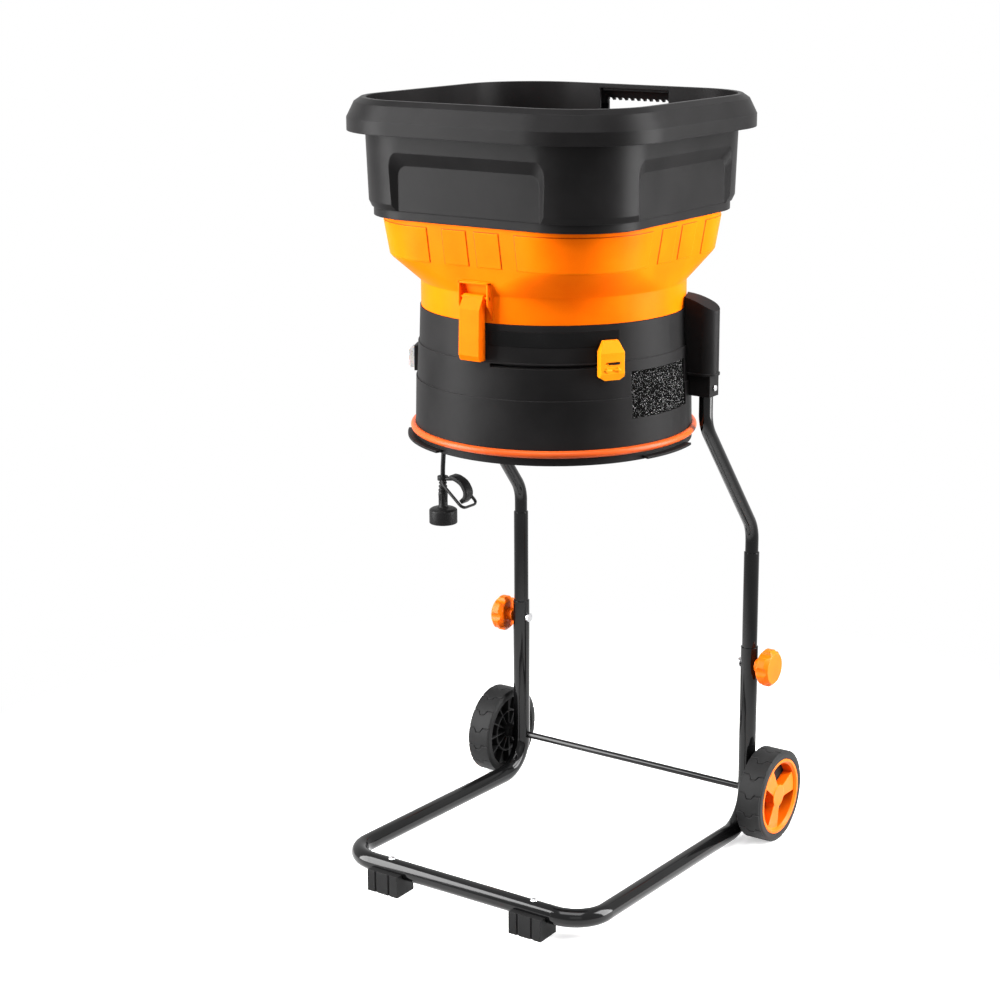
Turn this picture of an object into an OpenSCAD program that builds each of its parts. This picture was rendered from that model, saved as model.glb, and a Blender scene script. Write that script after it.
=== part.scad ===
// Electric leaf shredder: a hopper and funnel over a round cutting drum, carried by two
// telescoping legs on a wheeled tube stand.
// Millimetres, +Z up, +X towards the right wheel, -Y towards the front bar of the stand.
// Angles round the drum are counted from the front (-Y) towards the right wheel (+X).

/* [Stand] */
// Spacing of the two posts, centre to centre
post_span = 398; // [370:1:430]
// Distance from the drum axis back to the posts
post_back = 212; // [195:1:230]
// Distance from the drum axis forward to the front bar
front_reach = 228; // [210:1:250]
// Outside diameter of the stand tube
tube_od = 25; // [24:0.1:26]
// Wall of the stand tube
tube_wall = 1.2; // [1:0.1:1.3]
// Centre-line radius of the two front corners
corner_bend = 48; // [40:1:70]
// Centre-line radius of the two rear bends
rear_bend = 50; // [44:1:60]
// Height of the front bar's centre line
front_bar_z = 32; // [30:0.5:36]
// Height at which the side bars' centre line would meet the posts
rear_bar_z = 13; // [12.5:0.5:18]
// Height of the top of the posts
collar_z = 286; // [276:1:300]

/* [Feet] */
// Distance of each foot from the middle of the front bar
foot_x = 118; // [90:1:130]
// Length of a foot along the bar
foot_l = 51; // [40:1:60]
// Depth of a foot across the bar
foot_depth = 37.5; // [36:0.5:44]
// How far the front face stands ahead of the bar's centre line
foot_front = 23; // [20:0.5:26]
// Height of the wall in front of the bar
foot_front_z = 31; // [28:0.5:34]
// Height of the low edge behind the bar
foot_back_z = 9; // [6:0.5:12]
// Diameter of the foot screws
foot_screw_d = 5; // [4:0.5:6]

/* [Wheels] */
// Diameter of a wheel
wheel_d = 134; // [120:1:150]
// Width of a wheel
wheel_w = 38; // [34:1:44]
// Gap from the post to the wheel, filled by a spacer
wheel_gap = 6; // [4:0.5:10]
// Diameter of the axle rod
axle_d = 10; // [8:0.5:12]
// Thickness of the tread ring
tread_t = 12; // [9:0.5:15]
// Number of spokes in the coloured hub
spoke_count = 3; // [3:1:5]

/* [Legs] */
// Outside diameter of the middle tubes
mid_od = 22; // [21:0.1:22]
// Height of the top of the middle tubes
mid_top_z = 428; // [415:1:440]
// Height of the hidden lower end of the middle tubes
mid_bottom_z = 112; // [100:1:130]
// Outside diameter of the bent upper tubes
bent_od = 19; // [18:0.1:19]
// Wall of the leg tubes
leg_wall = 1.2; // [1:0.1:1.2]
// Distance of the upper stretch's axis out from the drum's foot
shoulder_gap = 21.65; // [20:0.05:24]
// Least distance of the upper stretch behind the drum axis
shoulder_least = 60; // [50:1:65]
// Height at which the slant would meet the lower stretch
slant_low_z = 464; // [455:1:475]
// Height at which the slant would meet the upper stretch
slant_high_z = 641; // [625:1:650]
// Centre-line radius of the leg bends
leg_bend = 50; // [40:1:60]
// How far the legs can be raised
lift_travel = 100; // [60:1:110]

/* [Clamp knobs] */
// Height of the clamp bolts
knob_z = 260; // [255:1:266]
// Diameter of a knob over its lobes
knob_d = 54; // [46:1:60]
// Thickness of a knob
knob_t = 20; // [16:1:24]
// Number of lobes
knob_lobes = 6; // [5:1:8]
// Diameter of the clamp bolts
bolt_d = 6; // [5:0.5:8]

/* [Drum] */
// Radius of the drum's top edge
drum_top_r = 180.7; // [176:0.1:184]
// Taper of each of the three bands, at the radius
band_taper = 1.8; // [1:0.1:2]
// Step out below each band
band_step = 1.6; // [1:0.1:2]
// Height of the drum's bottom edge
drum_bottom_z = 628; // [620:1:635]
// Height of the lower step
low_step_z = 704; // [698:1:708]
// Height of the upper step
high_step_z = 752; // [751:0.5:756]
// Height of the drum's top edge
drum_top_z = 801; // [795:1:806]
// Wall of the drum
drum_wall = 3; // [2.5:0.1:3.5]

/* [Trim ring and bag collar] */
// Height of the coloured ring's middle
ring_z = 635; // [634:0.5:640]
// Height of the coloured ring
ring_h = 9.4; // [8:0.2:11]
// How far the ring stands out of the drum
ring_proud = 6.4; // [5:0.2:8]
// Height of the bag collar below the drum
collar_h = 8.5; // [7:0.5:12]
// How far the hook strips stand out of the drum's foot
hook_proud = 10.7; // [8:0.1:14]
// First angle of each bag hook
hook_from = [-60, 71, 160];
// Last angle of each bag hook
hook_to = [-17.5, 100, 200];

/* [Mulch control] */
// Angle of the tab at rest
tab_angle = 55.6; // [54:0.2:58]
// Angle through which the tab slides
tab_travel = 45; // [40:1:46]
// Width of the tab
tab_w = 33; // [28:1:36]
// Height of the tab
tab_h = 51; // [46:1:54]
// Depth of the tab
tab_depth = 12; // [10:0.5:14]
// Number of windows in the deck and in the shutter
window_count = 4; // [4:1:4]
// Angle of one window
window_angle = 45; // [40:1:45]

/* [Air intake] */
// Angle at which the foam window starts
foam_from_angle = 66; // [64:1:68]
// Angle at which the foam window ends
foam_to_angle = 103; // [98:1:103]
// Height of the window's lower edge
foam_bottom_z = 675; // [668:1:680]
// Height of the window's upper edge
foam_top_z = 737; // [730:1:737]
// Thickness of the foam pad
foam_t = 9; // [7:0.5:10]

/* [Motor] */
// Radius of the motor housing
motor_r = 62; // [60:0.5:66]
// Height of the motor housing's bottom
motor_bottom_z = 632; // [630:1:640]
// Diameter of the motor shaft
shaft_d = 12; // [10:0.5:14]
// Radius of the stator bore
stator_bore_r = 33; // [30:0.5:35]
// Gap between the ends of the lines and the drum's inside wall
line_gap = 17.7; // [14:0.1:26]
// Diameter of the cutting line
line_d = 2.4; // [2:0.1:3]

/* [Funnel] */
// Offset of the corner centres of the funnel's square band
funnel_centre = 80; // [76:1:82]
// Corner radius at the top of the band
funnel_top_r = 116; // [114:0.5:118]
// Corner radius at the bottom of the band
funnel_low_r = 106.5; // [105:0.5:108]
// Height of the funnel's top edge
funnel_top_z = 926.5; // [920:0.5:932]
// Height at which the band turns into the cone
funnel_cone_z = 872; // [868:1:876]
// Height at which the cone turns into the round neck
neck_top_z = 837; // [834:1:840]
// Wall of the funnel
funnel_wall = 3; // [2.5:0.1:3.5]

/* [Latches] */
// Width of a latch lever
lever_w = 31; // [26:0.5:33]
// Inside width of the pocket that holds the lever
pocket_w = 42; // [38:0.5:46]
// Height of the lever's pin
latch_pin_z = 834; // [832:0.5:836]
// Height of the lever's lower end
lever_low_z = 753; // [752.5:0.5:756]
// Diameter of the latch pins
latch_pin_d = 4; // [3.5:0.1:4.5]

/* [Hopper] */
// Offset of the corner centres of the hopper
hopper_centre = 105; // [100:1:108]
// How far the hopper's foot stands out of the funnel's top edge
hopper_step = 8; // [6:0.5:11]
// Growth of the corner radius from foot to top
hopper_flare = 5; // [3:0.5:7]
// Gap between the funnel's top edge and the hopper's foot
hopper_lift = 11.5; // [8:0.5:15]
// Height of the hopper from foot to rim
hopper_h = 142; // [132:1:152]
// Height of the rim
rim_h = 43; // [40:1:48]
// How far the rim stands out of the wall
rim_over = 22.7; // [19:0.1:26]
// Height of the rim's plain lower band
rim_band_h = 17; // [14:0.5:19]
// Wall of the hopper
hopper_wall = 3; // [2.5:0.1:3.5]
// Half width of the hand slot in the back wall
slot_half = 56; // [48:1:62]
// Half width of the recessed side panels at their foot
panel_half = 118; // [100:1:120]
// Depth of the recessed side panels
panel_depth = 5; // [4:0.5:6]

/* [Switch] */
// Angle of the switch on the drum
switch_angle = -64; // [-66:1:-60]
// Height of the switch's middle
switch_z = 722; // [720:0.5:723]
// Height of the switch bezel
bezel_h = 35; // [30:1:35]
// Width of the switch bezel
bezel_w = 26; // [22:1:30]

/* [Power lead] */
// Angle at which the lead hangs
lead_angle = -80; // [-82:1:-78]
// Distance of the lead in from the drum's inside wall
lead_in = 10.1; // [9.8:0.1:13]
// Diameter of the lead
lead_d = 6.6; // [6:0.1:7.5]
// Diameter of the plug's shroud
plug_d = 40; // [36:1:44]
// Height of the plug's lower edge
plug_z = 472; // [465:1:480]

/* [Hidden] */
$fn = 96;

// Overrun of every cut, and the clearances between neighbours
cut = 2;
fit = 0.1;
run = 0.05;
slide = 0.3;

// Colours
black = [0.09, 0.09, 0.09];
gloss_black = [0.04, 0.04, 0.04];
orange = [1, 0.5, 0];
steel = [0.62, 0.62, 0.64];
copper = [0.72, 0.4, 0.2];
clear = [0.9, 0.88, 0.85, 0.5];
nylon = [0.9, 0.9, 0.88];

// The origin lies on the floor under the middle of the part, so the drum axis stands off it
wheel_r = wheel_d / 2;
centre_y = (post_back + wheel_r - front_reach - foot_front) / 2;
module machine() {
    translate([0, -centre_y, 0]) children();
}

// A piece on the drum wall, turned to its angle; the piece is drawn at the front, towards -Y
module round_at(angle) {
    rotate([0, 0, angle]) children();
}

// A rod along X from x0 to x1
module rod_x(x0, x1, d) {
    translate([x0, 0, 0]) rotate([0, 90, 0]) cylinder(h = x1 - x0, d = d);
}

// A ring between two radii
module ring(r_in, r_out, h) {
    difference() {
        cylinder(h = h, r = r_out);
        translate([0, 0, -cut]) cylinder(h = h + 2 * cut, r = r_in);
    }
}

// A sector of a ring from one angle to another, counted from the front
module ring_sector(r_in, r_out, from, to, h) {
    rotate([0, 0, from - 90])
        rotate_extrude(angle = to - from)
            translate([r_in, 0]) square([r_out - r_in, h]);
}

// A frustum on a rounded square: corner centres stay, the corner radius changes with height.
// Corners stand a hair proud of the flats
corner_swell = 0.05;
module square_taper(centre, r_low, r_high, h) {
    for (turn = [0, 90])
        rotate([90, 0, turn])
            translate([0, 0, -centre])
                linear_extrude(2 * centre)
                    polygon([
                        [-centre - r_low, 0], [centre + r_low, 0],
                        [centre + r_high, h], [-centre - r_high, h]
                    ]);
    for (sx = [-1, 1], sy = [-1, 1])
        translate([sx * centre, sy * centre, 0])
            cylinder(h = h, r1 = r_low + corner_swell, r2 = r_high + corner_swell);
}

// Mirror to the left side
module left_side() {
    mirror([1, 0, 0]) children();
}

// Mirror to the back
module back_side() {
    mirror([0, 1, 0]) children();
}

// Lower frame: one bent tube with a front bar, two corners, two side bars that fall towards
// the back, two rear bends and two posts
post_x = post_span / 2;
tube_r = tube_od / 2;
bar_fall = atan((front_bar_z - rear_bar_z) / (post_back + front_reach));
side_l = (post_back + front_reach) / cos(bar_fall);
rear_turn = 90 + bar_fall;
rear_tangent = rear_bend * tan(rear_turn / 2);
post_foot_z = rear_bar_z + rear_tangent;
// A bend is a hair wider than the straight tube, and each straight end reaches a little into it
bend_swell = 0.05;
bend_lap = 1;
module frame_run(r, top_z) {
    swell_r = r + bend_swell;
    translate([0, -front_reach, front_bar_z]) rotate([-bar_fall, 0, 0]) {
        rod_x(-post_x + corner_bend - bend_lap, post_x - corner_bend + bend_lap, 2 * r);
        for (side = [0, 1]) mirror([side, 0, 0]) {
            translate([post_x - corner_bend, corner_bend, 0]) rotate([0, 0, -90])
                rotate_extrude(angle = 90) translate([corner_bend, 0]) circle(swell_r);
            translate([post_x, corner_bend - bend_lap, 0]) rotate([-90, 0, 0])
                cylinder(h = side_l - rear_tangent - corner_bend + 2 * bend_lap, r = r);
            translate([post_x, side_l - rear_tangent, rear_bend]) rotate([0, 90, 0])
                rotate_extrude(angle = rear_turn) translate([rear_bend, 0]) circle(swell_r);
        }
    }
    for (sx = [-1, 1]) translate([sx * post_x, post_back, post_foot_z - bend_lap])
        cylinder(h = top_z - post_foot_z + bend_lap, r = r);
}
module lower_frame() {
    color(gloss_black) machine() difference() {
        frame_run(tube_r, collar_z);
        frame_run(tube_r - tube_wall, collar_z + cut);
        translate([0, post_back, wheel_r]) rod_x(-post_span, post_span, axle_d + 2 * fit);
        translate([0, post_back, knob_z]) rod_x(-post_span, post_span, bolt_d + 2 * fit);
        for (sx = [-1, 1]) translate([sx * foot_x, -front_reach, 0])
            cylinder(h = front_bar_z + tube_od, d = foot_screw_d + 2 * fit);
    }
}

// Axle: a plain rod through both posts, with a spacer and a push nut at each wheel
wheel_x = post_x + tube_r + wheel_gap;
boss_out_share = 0.68;
boss_out = wheel_w * boss_out_share;
nut_t = 3;
nut_rim = 3.4;
nut_r = axle_d / 2 + nut_rim;
nut_proud = 1;
axle_end = wheel_x + boss_out + slide + nut_t + nut_proud;
module axle() {
    color(gloss_black) machine() translate([0, post_back, wheel_r]) rod_x(-axle_end, axle_end, axle_d);
}
spacer_rim = 5;
spacer_r = axle_d / 2 + spacer_rim;
module axle_spacers() {
    color(black) machine() for (side = [0, 1]) mirror([side, 0, 0])
        translate([post_x + tube_r + fit, post_back, wheel_r]) rotate([0, 90, 0])
            ring(axle_d / 2 + fit, spacer_r, wheel_gap - fit - slide);
}
module axle_nuts() {
    color(steel) machine() for (side = [0, 1]) mirror([side, 0, 0])
        translate([wheel_x + boss_out + slide, post_back, wheel_r]) rotate([0, 90, 0])
            ring(axle_d / 2 + fit, nut_r, nut_t);
}

// Feet: saddle blocks under the front bar, low behind it, with two grooves in the front face
groove_share = 0.07;
groove_w = foot_l * groove_share;
groove_x_shares = [-0.22, 0.22];
groove_depth = 1.5;
foot_core_z = front_bar_z - tube_r - fit;
screw_head_h = 3;
module foot_right() {
    color(black) machine() translate([foot_x, -front_reach, 0]) difference() {
        rotate([90, 0, 90]) translate([0, 0, -foot_l / 2]) linear_extrude(foot_l)
            polygon([
                [-foot_front, 0], [foot_depth - foot_front, 0],
                [foot_depth - foot_front, foot_back_z], [0, foot_core_z + tube_r],
                [-tube_r, foot_front_z], [-foot_front, foot_front_z]
            ]);
        translate([0, 0, front_bar_z]) rod_x(-foot_l, foot_l, tube_od + 2 * fit);
        translate([0, 0, -cut]) cylinder(h = front_bar_z, d = foot_screw_d + 2 * fit);
        for (share = groove_x_shares)
            translate([share * foot_l - groove_w / 2, -foot_front - cut, -cut])
                cube([groove_w, groove_depth + cut, foot_front_z + 2 * cut]);
    }
}
module foot_left() {
    left_side() foot_right();
}
screw_bottom_share = 0.25;
screw_bottom_z = foot_core_z * screw_bottom_share;
module foot_screws() {
    color(steel) machine() for (sx = [-1, 1]) translate([sx * foot_x, -front_reach, 0]) {
        translate([0, 0, screw_bottom_z])
            cylinder(h = front_bar_z + tube_r - screw_bottom_z + fit, d = foot_screw_d);
        translate([0, 0, front_bar_z + tube_r + fit]) intersection() {
            cylinder(h = screw_head_h, d = 2 * foot_screw_d);
            translate([0, 0, screw_head_h - foot_screw_d * head_dome_share])
                sphere(foot_screw_d * head_dome_share);
        }
    }
}
head_dome_share = 1.25;

// Wheels, drawn for the right side: the tyre is one moulding with web, ribs and bearing boss,
// and the hub is a coloured dish pressed into its outer side
tread_in_r = wheel_r - tread_t;
tread_round = 4;
web_t = 4;
web_share = 0.42;
web_x = wheel_w * web_share;
boss_wall = 6;
boss_r = axle_d / 2 + boss_wall;
rib_t = 2.5;
rib_count = 6;
rib_ring_share = 0.6;
rib_ring_r = tread_in_r * rib_ring_share;
rib_low_x = 4;
module wheel_frame() {
    machine() translate([wheel_x, post_back, wheel_r]) rotate([0, 90, 0]) children();
}
module tyre_right() {
    color(black) wheel_frame() difference() {
        union() {
            rotate_extrude() polygon([
                [tread_in_r, 0], [wheel_r - tread_round, 0], [wheel_r, tread_round],
                [wheel_r, wheel_w - tread_round], [wheel_r - tread_round, wheel_w],
                [tread_in_r, wheel_w]
            ]);
            translate([0, 0, web_x]) cylinder(h = web_t, r = tread_in_r + cut);
            cylinder(h = boss_out, r = boss_r);
            translate([0, 0, rib_low_x]) {
                ring(rib_ring_r - rib_t / 2, rib_ring_r + rib_t / 2, web_x - rib_low_x + cut);
                for (k = [0 : rib_count - 1]) rotate([0, 0, k * 360 / rib_count])
                    translate([0, -rib_t / 2, 0])
                        cube([tread_in_r + cut, rib_t, web_x - rib_low_x + cut]);
            }
        }
        translate([0, 0, -cut]) cylinder(h = wheel_w + 2 * cut, d = axle_d + 2 * run);
    }
}
module tyre_left() {
    left_side() tyre_right();
}
hub_seat_x = web_x + web_t;
hub_r = tread_in_r - fit;
hub_lip = 7;
hub_sink = 3;
hub_face_x = wheel_w - hub_sink;
hub_cap_wall = 5;
hub_cap_r = boss_r + hub_cap_wall;
hub_cap_t = 3;
spoke_share = 0.34;
spoke_w = hub_r * spoke_share;
spoke_flare_share = 0.62;
spoke_flare = hub_r * spoke_flare_share;
spoke_angle = 100;
spoke_lift = 0.8;
module hub_right() {
    color(orange) wheel_frame() difference() {
        union() {
            translate([0, 0, hub_seat_x]) rotate_extrude() polygon([
                [hub_r - hub_lip, 0], [hub_r, 0], [hub_r, wheel_w - hub_seat_x],
                [hub_r - hub_lip / 2, wheel_w - hub_seat_x], [hub_r - hub_lip, hub_face_x - hub_seat_x]
            ]);
            intersection() {
                translate([0, 0, hub_seat_x + spoke_lift])
                    cylinder(h = hub_face_x - hub_seat_x - 2 * spoke_lift, r = hub_r - hub_lip / 2);
                for (k = [0 : spoke_count - 1]) rotate([0, 0, spoke_angle + k * 360 / spoke_count])
                    translate([0, 0, hub_seat_x]) linear_extrude(hub_face_x - hub_seat_x) polygon([
                        [0, -spoke_w / 2], [hub_r * spoke_share, -spoke_w / 2], [hub_r, -spoke_flare / 2],
                        [hub_r, spoke_flare / 2], [hub_r * spoke_share, spoke_w / 2], [0, spoke_w / 2]
                    ]);
            }
            translate([0, 0, hub_seat_x]) cylinder(h = hub_face_x - hub_seat_x, r = hub_cap_r);
        }
        translate([0, 0, hub_seat_x - cut])
            cylinder(h = hub_face_x - hub_seat_x - hub_cap_t + cut, r = boss_r + fit);
        for (k = [0 : spoke_count - 1]) rotate([0, 0, spoke_angle + k * 360 / spoke_count])
            translate([hub_cap_r + hub_cap_t, -spoke_w / 2 + hub_cap_t, hub_seat_x - cut])
                cube([hub_r - hub_lip - hub_cap_r - hub_cap_t, spoke_w - 2 * hub_cap_t,
                    hub_face_x - hub_seat_x - hub_cap_t + cut]);
    }
}
module hub_left() {
    left_side() hub_right();
}

// Clamp bolts: round-headed bolts through post and middle tube, each with a lobed knob outside
bolt_head_share = 1.15;
bolt_head_r = bolt_d * bolt_head_share;
bolt_head_t = 3;
knob_gap = slide;
knob_stem_l = 9;
knob_stem_share = 0.36;
knob_stem_d = knob_d * knob_stem_share;
bolt_end_share = 0.6;
bolt_end = post_x + tube_r + knob_gap + knob_stem_l + knob_t * bolt_end_share;
module clamp_bolts() {
    color(steel) machine() for (side = [0, 1]) mirror([side, 0, 0]) translate([0, post_back, knob_z]) {
        rod_x(post_x - tube_r - bolt_head_t, bolt_end, bolt_d);
        rod_x(post_x - tube_r - fit - bolt_head_t, post_x - tube_r - fit, 2 * bolt_head_r);
    }
}
lobe_notch_share = 0.14;
lobe_notch_r = knob_d * lobe_notch_share;
knob_round = 5;
module knob_right() {
    color(orange) machine()
        translate([post_x + tube_r + knob_gap, post_back, knob_z]) rotate([0, 90, 0]) difference() {
            union() {
                cylinder(h = knob_stem_l + cut, d = knob_stem_d);
                translate([0, 0, knob_stem_l]) rotate_extrude() polygon([
                    [0, 0], [knob_d / 2 - knob_round, 0], [knob_d / 2, knob_round],
                    [knob_d / 2, knob_t - knob_round], [knob_d / 2 - knob_round, knob_t], [0, knob_t]
                ]);
            }
            for (k = [0 : knob_lobes - 1]) rotate([0, 0, (k + 0.5) * 360 / knob_lobes])
                translate([knob_d / 2 + lobe_notch_r / 2, 0, knob_stem_l - cut])
                    cylinder(h = knob_t + 2 * cut, r = lobe_notch_r);
            translate([0, 0, -cut])
                cylinder(h = bolt_end - post_x - tube_r - knob_gap + slide + cut, d = bolt_d + 2 * run);
        }
}
module knob_left() {
    left_side() knob_right();
}

// Middle tubes: slide in the posts, with a long slot for the clamp bolt
slot_w = bolt_d + 2 * slide;
mid_slot_low_z = knob_z - lift_travel;
module mid_tube_right() {
    color(gloss_black) machine() translate([post_x, post_back, 0]) difference() {
        translate([0, 0, mid_bottom_z]) cylinder(h = mid_top_z - mid_bottom_z, d = mid_od);
        translate([0, 0, mid_bottom_z - cut])
            cylinder(h = mid_top_z - mid_bottom_z + 2 * cut, d = mid_od - 2 * leg_wall);
        for (z = [mid_slot_low_z, knob_z]) translate([0, 0, z]) rod_x(-mid_od, mid_od, slot_w);
        translate([-mid_od, -slot_w / 2, mid_slot_low_z]) cube([2 * mid_od, slot_w, lift_travel]);
    }
}
module mid_tube_left() {
    left_side() mid_tube_right();
}

// Bent tubes: rise from the middle tubes, slant forward and stand up into the brackets
bent_insert = 45;
bent_bottom_z = mid_top_z - bent_insert;
bent_top_rise = 36;
bent_top_z = high_step_z + bent_top_rise;
top_band_low_r = drum_top_r + band_taper;
mid_band_top_r = top_band_low_r + band_step;
mid_band_low_r = mid_band_top_r + band_taper;
low_band_top_r = mid_band_low_r + band_step;
drum_bottom_r = low_band_top_r + band_taper;
shoulder_square = pow(drum_bottom_r + shoulder_gap, 2) - pow(post_x, 2);
shoulder_back = sqrt(max(shoulder_square, pow(shoulder_least, 2)));
slant_turn = atan((post_back - shoulder_back) / (slant_high_z - slant_low_z));
slant_tangent = leg_bend * tan(slant_turn / 2);
slant_l = (slant_high_z - slant_low_z) / cos(slant_turn) - 2 * slant_tangent;
module bent_run(r, over) {
    low_bend_z = slant_low_z - slant_tangent;
    high_bend_z = slant_high_z + slant_tangent;
    translate([0, post_back, bent_bottom_z - over])
        cylinder(h = low_bend_z - bent_bottom_z + over + bend_lap, r = r);
    translate([0, post_back - leg_bend, low_bend_z]) rotate([90, 0, 90])
        rotate_extrude(angle = slant_turn) translate([leg_bend, 0]) circle(r + bend_swell);
    translate([0, post_back, slant_low_z]) rotate([slant_turn, 0, 0])
        translate([0, 0, slant_tangent - bend_lap]) cylinder(h = slant_l + 2 * bend_lap, r = r);
    translate([0, shoulder_back + leg_bend, high_bend_z]) rotate([90, 0, 90]) rotate([0, 0, 180])
        rotate_extrude(angle = slant_turn) translate([leg_bend, 0]) circle(r + bend_swell);
    translate([0, shoulder_back, high_bend_z - bend_lap])
        cylinder(h = bent_top_z - high_bend_z + over + bend_lap, r = r);
}
module bent_tube_right() {
    color(gloss_black) machine() translate([post_x, 0, 0]) difference() {
        bent_run(bent_od / 2, 0);
        bent_run(bent_od / 2 - leg_wall, cut);
        translate([0, shoulder_back, bracket_screw_z])
            rod_x(-bent_od, bent_od, bracket_screw_d + 2 * fit);
    }
}
module bent_tube_left() {
    left_side() bent_tube_right();
}

// Drum: a round shell in three bands, each stepping out below the one above
hook_r = drum_bottom_r + hook_proud;
deck_drop = 6;
deck_top_z = high_step_z - deck_drop;
deck_t = 5;
deck_z = deck_top_z - deck_t;
ledge_t = 3;
ledge_w = 8;
ledge_in_r = mid_band_top_r - drum_wall - ledge_w;
module drum_outline(grow) {
    polygon([
        [0, drum_bottom_z - grow], [drum_bottom_r + grow, drum_bottom_z - grow],
        [low_band_top_r + grow, low_step_z + grow], [mid_band_low_r + grow, low_step_z + grow],
        [mid_band_top_r + grow, high_step_z + grow], [top_band_low_r + grow, high_step_z + grow],
        [drum_top_r + grow, drum_top_z + grow], [0, drum_top_z + grow]
    ]);
}
module drum_hollow() {
    polygon([
        [0, drum_bottom_z - cut], [drum_bottom_r - drum_wall, drum_bottom_z - cut],
        [low_band_top_r - drum_wall, low_step_z - drum_wall],
        [mid_band_low_r - drum_wall, low_step_z - drum_wall],
        [mid_band_top_r - drum_wall, deck_z - ledge_t], [ledge_in_r, deck_z - ledge_t],
        [ledge_in_r, deck_z], [mid_band_top_r - drum_wall, deck_z],
        [mid_band_top_r - drum_wall, high_step_z - drum_wall],
        [top_band_low_r - drum_wall, high_step_z - drum_wall],
        [drum_top_r - drum_wall, drum_top_z + cut], [0, drum_top_z + cut]
    ]);
}
shutter_t = 3;
shutter_z = deck_top_z + slide;
lug_w = 18;
lug_half_angle = asin(lug_w / 2 / mid_band_top_r);
slot_play = 1;
slot_from = tab_angle - tab_travel - lug_half_angle - slot_play;
slot_to = tab_angle + lug_half_angle + slot_play;
catch_w = 20;
catch_proud = 4;
catch_h = 5;
lever_lip_h = 4;
catch_gap = 0.6;
catch_z = lever_low_z + lever_lip_h + catch_gap;
deck_screw_r = ledge_in_r + ledge_w / 2;
deck_screw_d = 4;
screw_first_angle = 45;
screw_head_t = 3;
switch_hole_share = 0.7;
switch_hole_w = bezel_w * switch_hole_share;
switch_hole_h = bezel_h * switch_hole_share;
module drum() {
    color(black) machine() {
        difference() {
            rotate_extrude() drum_outline(0);
            rotate_extrude() drum_hollow();
            translate([0, 0, shutter_z - slot_play])
                ring_sector(mid_band_top_r - drum_wall - cut, mid_band_top_r + cut, slot_from, slot_to,
                    shutter_t + 2 * slot_play);
            translate([0, 0, foam_bottom_z])
                ring_sector(mid_band_top_r - drum_wall - cut, drum_bottom_r + cut,
                    foam_from_angle, foam_to_angle, foam_top_z - foam_bottom_z);
            for (k = [0 : 3]) round_at(screw_first_angle + 90 * k)
                translate([0, -deck_screw_r, deck_z - ledge_t - cut])
                cylinder(h = ledge_t + 2 * cut, d = deck_screw_d + 2 * fit);
            round_at(switch_angle)
                translate([-switch_hole_w / 2, -drum_bottom_r - cut, switch_z - switch_hole_h / 2])
                    cube([switch_hole_w, drum_wall + band_step + band_taper + 3 * cut, switch_hole_h]);
        }
        for (back = [0, 1]) mirror([0, back, 0]) difference() {
            translate([-catch_w / 2, -top_band_low_r - catch_proud, catch_z])
                cube([catch_w, catch_proud + drum_wall, catch_h]);
            translate([0, 0, catch_z - cut])
                cylinder(h = catch_h + 2 * cut, r = top_band_low_r - drum_wall / 2);
        }
    }
}

// Coloured ring round the foot of the drum, and the bag collar under it
ring_r = drum_bottom_r + fit;
module trim_ring() {
    color(orange) machine() translate([0, 0, ring_z - ring_h / 2]) rotate_extrude() intersection() {
        translate([ring_r, 0]) square([ring_proud, ring_h]);
        translate([ring_r + ring_proud - ring_h / 2, ring_h / 2]) union() {
            circle(ring_h / 2);
            translate([-ring_h, -ring_h / 2]) square([ring_h, ring_h]);
        }
    }
}
flange_wall = 4;
hook_t = 3;
hook_lift = 2;
module bag_flange() {
    color(black) machine() translate([0, 0, drum_bottom_z - collar_h]) {
        ring(drum_bottom_r - flange_wall, drum_bottom_r, collar_h);
        for (k = [0 : len(hook_from) - 1]) translate([0, 0, hook_lift])
            ring_sector(drum_bottom_r - flange_wall / 2, hook_r, hook_from[k], hook_to[k], hook_t);
    }
}

// Leg brackets: round-ended towers on the drum's sides that take the bent tubes from below
bracket_wall = 7;
bracket_half = bent_od / 2 + bracket_wall;
bracket_drop = 40;
bracket_low_z = high_step_z - bracket_drop;
bracket_cap_rise = 17;
bracket_cap_z = drum_top_z + bracket_cap_rise;
cap_arch_r = 109;
cap_crown_in = 44;
cap_crown_x = post_x - cap_crown_in;
bracket_rib_h = 3;
bracket_rib_proud = 1.5;
socket_h = 29;
socket_wall = 2.5;
socket_half = bent_od / 2 + socket_wall;
bracket_screw_d = 4;
bracket_screw_share = 0.6;
bracket_screw_z = bracket_low_z - socket_h * bracket_screw_share;
tube_depth_z = bent_top_z + slide;
module bracket_plan(half) {
    translate([post_x, shoulder_back]) circle(half);
    translate([drum_top_r / 2, shoulder_back - half]) square([post_x - drum_top_r / 2, 2 * half]);
}
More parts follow.
